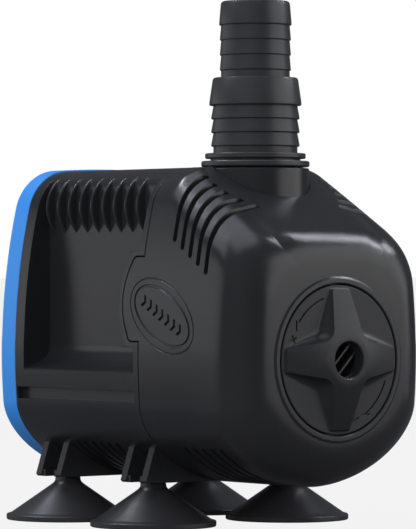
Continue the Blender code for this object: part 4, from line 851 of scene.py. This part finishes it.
def bezel_and_bore(shell):
    """Raised bezel in the nose of the cage and the stepped bore that holds the dial"""
    axis = (0.0, DIAL_Z)
    rim = FRONT_Y - BEZEL_RISE
    pad = [(0.0, rim), (BEZEL_RADIUS - BEZEL_SLOPE, rim), (BEZEL_RADIUS, FRONT_Y + BEZEL_FOOT),
           (BEZEL_RADIUS, LEDGE_REAR_Y), (0.0, LEDGE_REAR_Y)]
    carve(shell, turned("pad", pad, "Y", axis, FINE_LATHE_STEPS), "UNION")
    rear = LEDGE_REAR_Y + OVERCUT
    bore = [(0.0, rim - HAIR), (DIAL_BORE_RADIUS + DIAL_BORE_CHAMFER, rim - HAIR),
            (DIAL_BORE_RADIUS, rim + DIAL_BORE_CHAMFER), (DIAL_BORE_RADIUS, LEDGE_FRONT_Y),
            (LEDGE_RADIUS, LEDGE_FRONT_Y), (LEDGE_RADIUS, rear), (0.0, rear)]
    carve(shell, turned("bore", bore, "Y", axis, FINE_LATHE_STEPS))


def cage_shell():
    """Strainer cage with bezel, latch tabs, outlet notch, slots and the ovals on its sides"""
    rear = TAB_TIP_Y + CAGE_SPARE
    shell = skin("cage_shell", cage_rings(rear, 0.0))
    carve(shell, skin("inside", cage_rings(rear + OVERCUT, WALL)))
    bezel_and_bore(shell)
    behind = [(SEAM_Y, -FAR)] + tab_outline(0.0) + [(SEAM_Y, TAIL_TOP_Z), (FAR, TAIL_TOP_Z), (FAR, -FAR)]
    carve(shell, prism("behind", behind, "X", -FAR, FAR))
    notch = arc((0.0, OUTLET_Y), NOTCH_RADIUS, 0.0, -math.pi, NOTCH_STEPS)
    notch += [(-NOTCH_RADIUS, SEAM_Y + OVERCUT), (NOTCH_RADIUS, SEAM_Y + OVERCUT)]
    carve(shell, prism("notch", notch, "Z", BOSS_LOW_Z - OVERCUT, TAIL_TOP_Z))
    slots = []
    for index in range(SLOT_COUNT):
        y = SLOT_FIRST_Y - index * SLOT_PITCH
        for path in both_sides(slot_path(index)) + both_sides(belly_path()):
            slots.append(band(path, 2.0 * WALL, WALL, y, SLOT_WIDTH))
    carve(shell, gather(slots))
    for side in (-1, 1):
        for groove in OVAL_GROOVES:
            carve(shell, oval_groove(*groove, side))
        carve(shell, chevrons(side))
    smooth(shell)
    return shell


def chamber_shell():
    """Pump chamber with its outlet pipe and boss"""
    outlet = (0.0, OUTLET_Y)
    rotor = (0.0, ROTOR_Z)
    drum = [(0.0, CHAMBER_FRONT_Y), (CHAMBER_RADIUS, CHAMBER_FRONT_Y), (CHAMBER_RADIUS, CHAMBER_REAR_Y),
            (0.0, CHAMBER_REAR_Y)]
    shell = turned("chamber_shell", drum, "Y", rotor)
    pipe = [(0.0, ROTOR_Z), (PIPE_RADIUS, ROTOR_Z), (PIPE_RADIUS, BOSS_LOW_Z), (BOSS_RADIUS, BOSS_LOW_Z),
            (BOSS_RADIUS, BOSS_TOP_Z - BOSS_EDGE), (BOSS_RADIUS - BOSS_EDGE, BOSS_TOP_Z), (0.0, BOSS_TOP_Z)]
    carve(shell, turned("pipe", pipe, "Z", outlet, FINE_LATHE_STEPS), "UNION")
    front = CHAMBER_FRONT_Y - OVERCUT
    rear = CHAMBER_REAR_Y + OVERCUT
    room = [(0.0, front), (CHAMBER_BORE_RADIUS, front), (CHAMBER_BORE_RADIUS, rear), (0.0, rear)]
    carve(shell, turned("room", room, "Y", rotor))
    top = BOSS_TOP_Z + OVERCUT
    bore = [(0.0, ROTOR_Z), (PIPE_BORE_RADIUS, ROTOR_Z), (PIPE_BORE_RADIUS, SOCKET_LOW_Z),
            (SOCKET_RADIUS, SOCKET_LOW_Z), (SOCKET_RADIUS, top), (0.0, top)]
    carve(shell, turned("bore", bore, "Z", outlet))
    smooth(shell)
    return shell


def edged_disc(radius, low, high, edge):
    """Profile of a flange with both its edges broken"""
    return [(radius - edge, low), (radius, low + edge), (radius, high - edge), (radius - edge, high)]


def barbs(root, tip, first, pitch):
    """Row of barbs, each with a rounded lip below and a long slope back to the root above"""
    points = []
    for index in range(BARB_COUNT):
        low = first + index * pitch
        points += [(root, low), (tip - BARB_LIP, low), (tip, low + BARB_LIP),
                   (tip - BARB_LIP_FALL, low + BARB_LIP_HEIGHT), (root, low + pitch - BARB_GAP)]
    return points


def barbed_tail():
    """Hose tail from its plug in the boss over two stretches of barbs to the mouth"""
    plug_low = SOCKET_LOW_Z + PLUG_GAP
    profile = [(TAIL_BORE_RADIUS, plug_low), (PLUG_RADIUS, plug_low), (PLUG_RADIUS, SEAL_LOW_Z),
               (SEAL_SEAT_RADIUS, SEAL_LOW_Z), (SEAL_SEAT_RADIUS, SEAL_HIGH_Z), (PLUG_RADIUS, SEAL_HIGH_Z),
               (PLUG_RADIUS, COLLAR_SEAT_Z), (COLLAR_SEAT_RADIUS, COLLAR_SEAT_Z),
               (COLLAR_SEAT_RADIUS, COLLAR_LOW_Z)]
    profile += edged_disc(COLLAR_RADIUS, COLLAR_LOW_Z, COLLAR_HIGH_Z, COLLAR_EDGE)
    profile += [(FLANGE_NECK_RADIUS, COLLAR_HIGH_Z), (FLANGE_NECK_RADIUS, FLANGE_LOW_Z)]
    profile += edged_disc(FLANGE_RADIUS, FLANGE_LOW_Z, FLANGE_HIGH_Z, FLANGE_EDGE)
    profile += [(LOWER_ROOT_RADIUS, FLANGE_HIGH_Z)]
    profile += barbs(LOWER_ROOT_RADIUS, LOWER_TIP_RADIUS, LOWER_FIRST_Z, LOWER_PITCH)
    big_low = LOWER_FIRST_Z + BARB_COUNT * LOWER_PITCH
    profile += [(radius, big_low + rise) for radius, rise in BIG_BARB]
    profile += barbs(UPPER_ROOT_RADIUS, UPPER_TIP_RADIUS, UPPER_FIRST_Z, UPPER_PITCH)
    end_low = UPPER_FIRST_Z + BARB_COUNT * UPPER_PITCH
    profile += [(radius, end_low + rise) for radius, rise in TAIL_END]
    tail = turned("barbed_tail", profile, "Z", (0.0, OUTLET_Y), FINE_LATHE_STEPS)
    smooth(tail, TAIL_SMOOTHING)
    return tail


def knob_outline():
    """Loop of (x, z) round four arms with straight flanks and a fillet between each two"""
    inner = Vector((KNOB_FILLET, KNOB_WAIST))
    tip = Vector((KNOB_ARM_RADIUS, KNOB_TIP_HALF_WIDTH))
    end = [(KNOB_ARM_RADIUS, KNOB_TIP_HALF_WIDTH * step / KNOB_TIP_STEPS)
           for step in range(1 - KNOB_TIP_STEPS, KNOB_TIP_STEPS)]
    flank = [tip.lerp(inner, step / KNOB_FLANK_STEPS) for step in range(KNOB_FLANK_STEPS)]
    fillet = curve(inner, (KNOB_INNER, KNOB_INNER), inner.yx, KNOB_FILLET_STEPS)
    back = [(z, x) for x, z in reversed(flank)]
    loop = []
    for quarter in range(4):
        turn = Matrix.Rotation(QUARTER_TURN * quarter, 2)
        loop += [turn @ Vector(point) for point in end + flank + fillet + back]
    return loop


def knob_height(radius):
    """Height of the arms over the dial face, falling from the hub to the tips"""
    share = min(max((radius - HUB_RADIUS) / (KNOB_ARM_RADIUS - HUB_RADIUS), 0.0), 1.0)
    return KNOB_HEIGHT + (KNOB_TIP_HEIGHT - KNOB_HEIGHT) * share ** KNOB_FALL_POWER


def bar_outline(middle, way, length, width):
    """Straight bar on the dial as (x, z), from its middle and direction"""
    across = Vector((-way.y, way.x)) * width / 2.0
    ends = [middle - way * length / 2.0, middle + way * length / 2.0]
    corners = [ends[0] - across, ends[1] - across, ends[1] + across, ends[0] + across]
    return [(corner.x, DIAL_Z + corner.y) for corner in corners]


def direction(angle):
    return Vector((math.cos(angle), math.sin(angle)))


def engraving(outline):
    return prism("engraving", outline, "Y", DIAL_FACE_Y - MARK_OVERCUT, DIAL_FACE_Y + MARK_DEPTH)


def engraved_bar(radius, angle, turn, length):
    """Short stroke sunk in the dial face, placed by radius and angle and turned by itself"""
    middle = direction(math.radians(angle)) * radius
    return engraving(bar_outline(middle, direction(math.radians(turn)), length, MARK_WIDTH))


def engraved_arc(start, end):
    """Arc sunk in the dial face between two angles"""
    outer = arc((0.0, DIAL_Z), MARK_RADIUS + MARK_WIDTH / 2.0, math.radians(start), math.radians(end))
    inner = arc((0.0, DIAL_Z), MARK_RADIUS - MARK_WIDTH / 2.0, math.radians(end), math.radians(start))
    return engraving(outer + inner)


def dial_marks(knob):
    """Plus and minus with their turning arrows"""
    for ends, strokes in ((PLUS_ARC, PLUS_STROKES), (MINUS_ARC, MINUS_STROKES)):
        carve(knob, engraved_arc(*ends))
        for stroke in strokes:
            carve(knob, engraved_bar(*stroke))


def knob_rows(outline, angles):
    """Rows over the arms from the hub to their edge, and down their hollow flanks to the face"""
    rows = []
    for step in range(KNOB_TOP_STEPS + 1):
        row = []
        for point, angle in zip(outline, angles):
            place = (direction(angle) * HUB_RADIUS).lerp(point, step / KNOB_TOP_STEPS)
            row.append((place.x, DIAL_FACE_Y - knob_height(place.length), DIAL_Z + place.y))
        rows.append(row)
    for share in KNOB_FLARE_SHARES:
        row = []
        for index, point in enumerate(outline):
            way = outline[(index + 1) % len(outline)] - outline[index - 1]
            out = Vector((way.y, -way.x)).normalized()
            height = knob_height(point.length)
            place = point + out * height * KNOB_FLARE * share
            row.append((place.x, DIAL_FACE_Y - height * (1.0 - share) ** KNOB_FOOT, DIAL_Z + place.y))
        rows.append(row)
    return rows


def dial_knob():
    """Round dial whose cross of arms runs out into the face in a hollow curve"""
    outline = knob_outline()
    angles = [math.atan2(point.y, point.x) for point in outline]
    disc = DIAL_BORE_RADIUS - DIAL_GAP
    neck = LEDGE_RADIUS - DIAL_PLAY
    seat = LEDGE_FRONT_Y - DIAL_PLAY
    hub = [(HUB_BORE_RADIUS, KNOB_TOP_Y + HUB_DEPTH), (HUB_BORE_RADIUS, KNOB_TOP_Y + HUB_CHAMFER),
           (HUB_BORE_RADIUS + HUB_CHAMFER, KNOB_TOP_Y)]
    body = [(disc - DIAL_EDGE, DIAL_FACE_Y), (disc, DIAL_FACE_Y + DIAL_EDGE), (disc, seat), (neck, seat),
            (neck, LEDGE_REAR_Y + DIAL_PLAY)]

    def circles(profile):
        return [[(radius * math.cos(a), y, DIAL_Z + radius * math.sin(a)) for a in angles]
                for radius, y in profile]

    knob = skin("dial_knob", circles(hub) + knob_rows(outline, angles) + circles(body))
    dial_marks(knob)
    smooth(knob)
    return knob


def hub_bars():
    """Ring in the dial hub with two slanted bars across it"""
    low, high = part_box("hub_grille")
    front = low[1] / MM
    rear = high[1] / MM
    reach = HUB_BORE_RADIUS + HUB_PRESS
    rim = [(reach - HUB_RING, front), (reach, front), (reach, rear), (reach - HUB_RING, rear)]
    bars = turned("hub_bars", rim, "Y", (0.0, DIAL_Z), SMALL_LATHE_STEPS)
    half = math.sqrt(reach ** 2 - (HUB_BAR_OFFSET + HUB_BAR_WIDTH / 2.0) ** 2) - HUB_PRESS
    for side in (-1, 1):
        middle = direction(HUB_BAR_TURN + QUARTER_TURN) * side * HUB_BAR_OFFSET
        outline = bar_outline(middle, direction(HUB_BAR_TURN), 2.0 * half, HUB_BAR_WIDTH)
        carve(bars, prism("bar", outline, "Y", front + HUB_BAR_SINK, rear - HUB_BAR_SINK), "UNION")
    smooth(bars)
    return bars


def cup(name, x, y):
    """Rubber suction cup: ball head, stem, flared cone and thin rim, hollow below"""
    stem = [(CUP_STEM_RADIUS, CUP_STEM_HIGH_Z), (CUP_STEM_RADIUS, CUP_STEM_LOW_Z)]
    flare = curve(*CUP_FLARE, CUP_FLARE_STEPS)[1:]
    rim = [(CUP_RADIUS, CUP_RIM_HIGH_Z), (CUP_RADIUS, CUP_RIM_LOW_Z)]
    piece = turned(name, CUP_HEAD + stem + CUP_NECK + flare + CUP_SKIRT + rim + CUP_HOLLOW, "Z", (x, y))
    smooth(piece)
    return piece


def group_nodes(name, inputs, outputs):
    """An empty node group with its number sockets"""
    group = bpy.data.node_groups.new(name, "ShaderNodeTree")
    for label, value in inputs:
        socket = group.interface.new_socket(label, in_out="INPUT", socket_type="NodeSocketFloat")
        socket.default_value = value
    for label in outputs:
        group.interface.new_socket(label, in_out="OUTPUT", socket_type="NodeSocketFloat")
    return group, group.nodes.new("NodeGroupInput"), group.nodes.new("NodeGroupOutput")


def moulded_grain():
    """Fine spark-eroded grain, slow tone drift and handling rub of a moulded surface"""
    group, inside, outside = group_nodes("moulded_grain",
                                         [("Grain Scale", GRAIN_SCALE), ("Drift Scale", DRIFT_SCALE)],
                                         ["Height", "Tone", "Rub"])
    nodes = group.nodes
    links = group.links
    place = nodes.new("ShaderNodeTexCoord")
    fine = nodes.new("ShaderNodeTexNoise")
    fine.inputs["Detail"].default_value = 3.0
    slow = nodes.new("ShaderNodeTexNoise")
    slow.inputs["Detail"].default_value = 4.0
    links.new(place.outputs["Object"], fine.inputs["Vector"])
    links.new(place.outputs["Object"], slow.inputs["Vector"])
    links.new(inside.outputs["Grain Scale"], fine.inputs["Scale"])
    links.new(inside.outputs["Drift Scale"], slow.inputs["Scale"])
    tone = nodes.new("ShaderNodeMapRange")
    tone.inputs["From Min"].default_value = 0.3
    tone.inputs["From Max"].default_value = 0.7
    tone.inputs["To Min"].default_value = 0.0
    tone.inputs["To Max"].default_value = 1.0
    links.new(slow.outputs["Fac"], tone.inputs["Value"])
    mix = nodes.new("ShaderNodeMath")
    mix.operation = "MULTIPLY"
    links.new(fine.outputs["Fac"], mix.inputs[0])
    links.new(tone.outputs["Result"], mix.inputs[1])
    links.new(fine.outputs["Fac"], outside.inputs["Height"])
    links.new(tone.outputs["Result"], outside.inputs["Tone"])
    links.new(mix.outputs["Value"], outside.inputs["Rub"])
    return group


GRAIN = moulded_grain()


def finish(name, dark, light, rough, rough_spread, depth, grain=GRAIN_SCALE, metallic=0.0, shine=0.5):
    """Principled finish: two-tone drift, uneven roughness, grain bump and softened edges"""
    made = bpy.data.materials.new(name)
    made.use_nodes = True
    nodes = made.node_tree.nodes
    links = made.node_tree.links
    shader = nodes["Principled BSDF"]
    shader.inputs["Metallic"].default_value = metallic
    shader.inputs["Specular IOR Level"].default_value = shine
    texture = nodes.new("ShaderNodeGroup")
    texture.node_tree = GRAIN
    texture.inputs["Grain Scale"].default_value = grain
    tone = nodes.new("ShaderNodeMix")
    tone.data_type = "RGBA"
    tone.inputs["A"].default_value = (*dark, 1.0)
    tone.inputs["B"].default_value = (*light, 1.0)
    links.new(texture.outputs["Tone"], tone.inputs["Factor"])
    links.new(tone.outputs["Result"], shader.inputs["Base Color"])
    spread = nodes.new("ShaderNodeMapRange")
    spread.inputs["To Min"].default_value = rough - rough_spread
    spread.inputs["To Max"].default_value = rough + rough_spread
    links.new(texture.outputs["Rub"], spread.inputs["Value"])
    links.new(spread.outputs["Result"], shader.inputs["Roughness"])
    soft = nodes.new("ShaderNodeBevel")
    soft.samples = 4
    soft.inputs["Radius"].default_value = EDGE_SOFTNESS
    bump = nodes.new("ShaderNodeBump")
    bump.inputs["Strength"].default_value = GRAIN_STRENGTH
    bump.inputs["Distance"].default_value = depth
    links.new(texture.outputs["Height"], bump.inputs["Height"])
    links.new(soft.outputs["Normal"], bump.inputs["Normal"])
    links.new(bump.outputs["Normal"], shader.inputs["Normal"])
    return made


BLACK = ((0.018, 0.0185, 0.0205), (0.024, 0.0245, 0.0265))
TAIL_BLACK = ((0.030, 0.0305, 0.034), (0.037, 0.0375, 0.041))
SKY_BLUE = ((0.036, 0.30, 0.88), (0.045, 0.325, 0.92))
RUBBER_BLACK = ((0.027, 0.027, 0.030), (0.036, 0.036, 0.039))
GREY = ((0.24, 0.25, 0.27), (0.32, 0.33, 0.35))
STEEL = ((0.48, 0.49, 0.51), (0.58, 0.59, 0.61))
COPPER = ((0.50, 0.20, 0.08), (0.64, 0.29, 0.13))
FERRITE = ((0.055, 0.055, 0.062), (0.085, 0.085, 0.092))
CERAMIC = ((0.74, 0.74, 0.70), (0.82, 0.82, 0.78))

FINISHES = {
    "casing": finish("satin_black_moulding", *BLACK, 0.25, 0.05, 0.00012),
    "dial": finish("satin_black_dial", *BLACK, 0.34, 0.05, 0.00012, shine=0.4),
    "blue_cover": finish("sky_blue_moulding", *SKY_BLUE, 0.42, 0.05, 0.00005),
    "rubber": finish("smooth_black_rubber", *RUBBER_BLACK, 0.34, 0.06, 0.00003, grain=1500.0),
    "tail": finish("satin_black_tail", *TAIL_BLACK, 0.38, 0.05, 0.00005),
    "inner_plastic": finish("grey_moulding", *GREY, 0.5, 0.06, 0.00005),
    "steel": finish("plain_steel", *STEEL, 0.34, 0.08, 0.00002, grain=900.0, metallic=1.0),
    "copper": finish("enamelled_wire", *COPPER, 0.38, 0.06, 0.00008, grain=1100.0, metallic=1.0),
    "ferrite": finish("sintered_ferrite", *FERRITE, 0.55, 0.06, 0.00005, grain=1800.0),
    "ceramic": finish("polished_ceramic", *CERAMIC, 0.22, 0.05, 0.00001),
}


def dress(piece, body, slot, node, look=None):
    """Finish a piece, ride it on its body and let it stand for its CAD node"""
    piece.data.materials.clear()
    piece.data.materials.append(FINISHES[look or slot])
    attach(piece, body)
    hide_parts(node)


def finish_cad_nodes():
    """Give each CAD node the finish of its material slot"""
    slots = {entry["node"]: entry["material_slot"] for entry in frame["record"]["subparts"]}
    for name, node in frame["nodes"].items():
        node.data.materials.clear()
        node.data.materials.append(FINISHES[slots[name]])


def build_pieces():
    """Model the outer pieces over their CAD nodes"""
    dress(housing_shell(), "housing", "casing", "motor_housing")
    dress(rear_shell(), "housing", "blue_cover", "rear_cover")
    dress(chamber_shell(), "housing", "casing", "pump_chamber")
    dress(cage_shell(), "cage", "casing", "front_cage")
    dress(dial_knob(), "dial", "casing", "flow_dial", "dial")
    dress(hub_bars(), "dial", "casing", "hub_grille")
    dress(barbed_tail(), "tail", "casing", "hose_tail", "tail")
    for end, y in (("front", CUP_FRONT_Y), ("rear", CUP_REAR_Y)):
        for side, x in (("left", -CUP_X), ("right", CUP_X)):
            word = end + "_" + side
            dress(cup("rubber_cup_" + word, x, y), "cup_" + word, "rubber", "suction_cup_" + word)


def floor():
    """Pale studio floor, near white to the camera and dull to bounced light"""
    bpy.ops.object.select_all(action="DESELECT")
    bpy.ops.mesh.primitive_plane_add(size=FLOOR_SIZE, location=(0.0, 0.0, FLOOR_Z))
    plane = bpy.context.object
    plane.name = "studio_floor"
    made = bpy.data.materials.new("pale_floor")
    made.use_nodes = True
    nodes = made.node_tree.nodes
    links = made.node_tree.links
    shader = nodes["Principled BSDF"]
    shader.inputs["Base Color"].default_value = (0.16, 0.16, 0.165, 1.0)
    shader.inputs["Roughness"].default_value = 0.9
    shader.inputs["Specular IOR Level"].default_value = 0.0
    glow = nodes.new("ShaderNodeEmission")
    glow.inputs["Color"].default_value = (*WHITE, 1.0)
    path = nodes.new("ShaderNodeLightPath")
    share = nodes.new("ShaderNodeMath")
    share.operation = "MULTIPLY"
    share.inputs[1].default_value = FLOOR_GLOW
    links.new(path.outputs["Is Camera Ray"], share.inputs[0])
    mix = nodes.new("ShaderNodeMixShader")
    links.new(share.outputs["Value"], mix.inputs["Fac"])
    links.new(shader.outputs["BSDF"], mix.inputs[1])
    links.new(glow.outputs["Emission"], mix.inputs[2])
    links.new(mix.outputs["Shader"], nodes["Material Output"].inputs["Surface"])
    plane.data.materials.append(made)


def softbox(name, place, width, height, power, colour=WHITE):
    """Rectangular lamp aimed at the middle of the pump"""
    light = bpy.data.lights.new(name, "AREA")
    light.shape = "RECTANGLE"
    light.size = width
    light.size_y = height
    light.energy = power
    light.color = colour
    lamp = bpy.data.objects.new(name, light)
    lamp.location = place
    aim = Vector(LIGHT_AIM) - Vector(place)
    lamp.rotation_euler = aim.to_track_quat("-Z", "Y").to_euler()
    bpy.context.scene.collection.objects.link(lamp)
    return lamp


def backdrop():
    """World that is white to the camera and dim to the pump"""
    world = bpy.data.worlds.new("studio")
    bpy.context.scene.world = world
    world.use_nodes = True
    nodes = world.node_tree.nodes
    links = world.node_tree.links
    dull = nodes["Background"]
    dull.inputs["Color"].default_value = (0.85, 0.88, 1.0, 1.0)
    dull.inputs["Strength"].default_value = WORLD_STRENGTH
    white = nodes.new("ShaderNodeBackground")
    white.inputs["Color"].default_value = (*WHITE, 1.0)
    path = nodes.new("ShaderNodeLightPath")
    mix = nodes.new("ShaderNodeMixShader")
    links.new(path.outputs["Is Camera Ray"], mix.inputs["Fac"])
    links.new(dull.outputs["Background"], mix.inputs[1])
    links.new(white.outputs["Background"], mix.inputs[2])
    links.new(mix.outputs["Shader"], nodes["World Output"].inputs["Surface"])


def studio():
    """Backdrop, softboxes and strips that draw the photograph's highlights"""
    backdrop()
    softbox("left_box", (-0.92, 1.31, 0.06), width=1.85, height=0.9, power=3.5)
    softbox("front_box", (1.08, -1.18, 0.6), width=2.0, height=1.3, power=11.2)
    softbox("top_box", (-0.2, 0.1, 1.2), width=1.0, height=0.9, power=4.0, colour=COOL)
    softbox("shoulder_box", (-0.76, 0.62, 1.0), width=0.6, height=0.5, power=1.4, colour=COOL)
    softbox("arch_strip", (-0.28, 0.62, 1.05), width=0.4, height=0.06, power=3.0, colour=COOLER)
    softbox("right_strip", (1.0, -0.28, 1.12), width=0.08, height=0.9, power=6.4, colour=COOLER)
    fill = softbox("left_fill", (-1.7, -0.7, 0.6), width=2.2, height=1.8, power=29.0)
    fill.visible_glossy = False
    bpy.context.scene.view_settings.view_transform = "Standard"


def camera():
    """Level camera fitted to the photograph"""
    data = bpy.data.cameras.new("photo_camera")
    data.lens = CAMERA_LENS
    data.sensor_fit = "AUTO"
    data.sensor_width = CAMERA_SENSOR
    data.clip_end = CAMERA_CLIP_END
    eye = bpy.data.objects.new("photo_camera", data)
    eye.location = CAMERA_PLACE
    eye.rotation_euler = (QUARTER_TURN, 0.0, CAMERA_YAW)
    bpy.context.scene.collection.objects.link(eye)
    bpy.context.scene.camera = eye


finish_cad_nodes()
build_pieces()
floor()
studio()
camera()

bpy.context.view_layer.update()
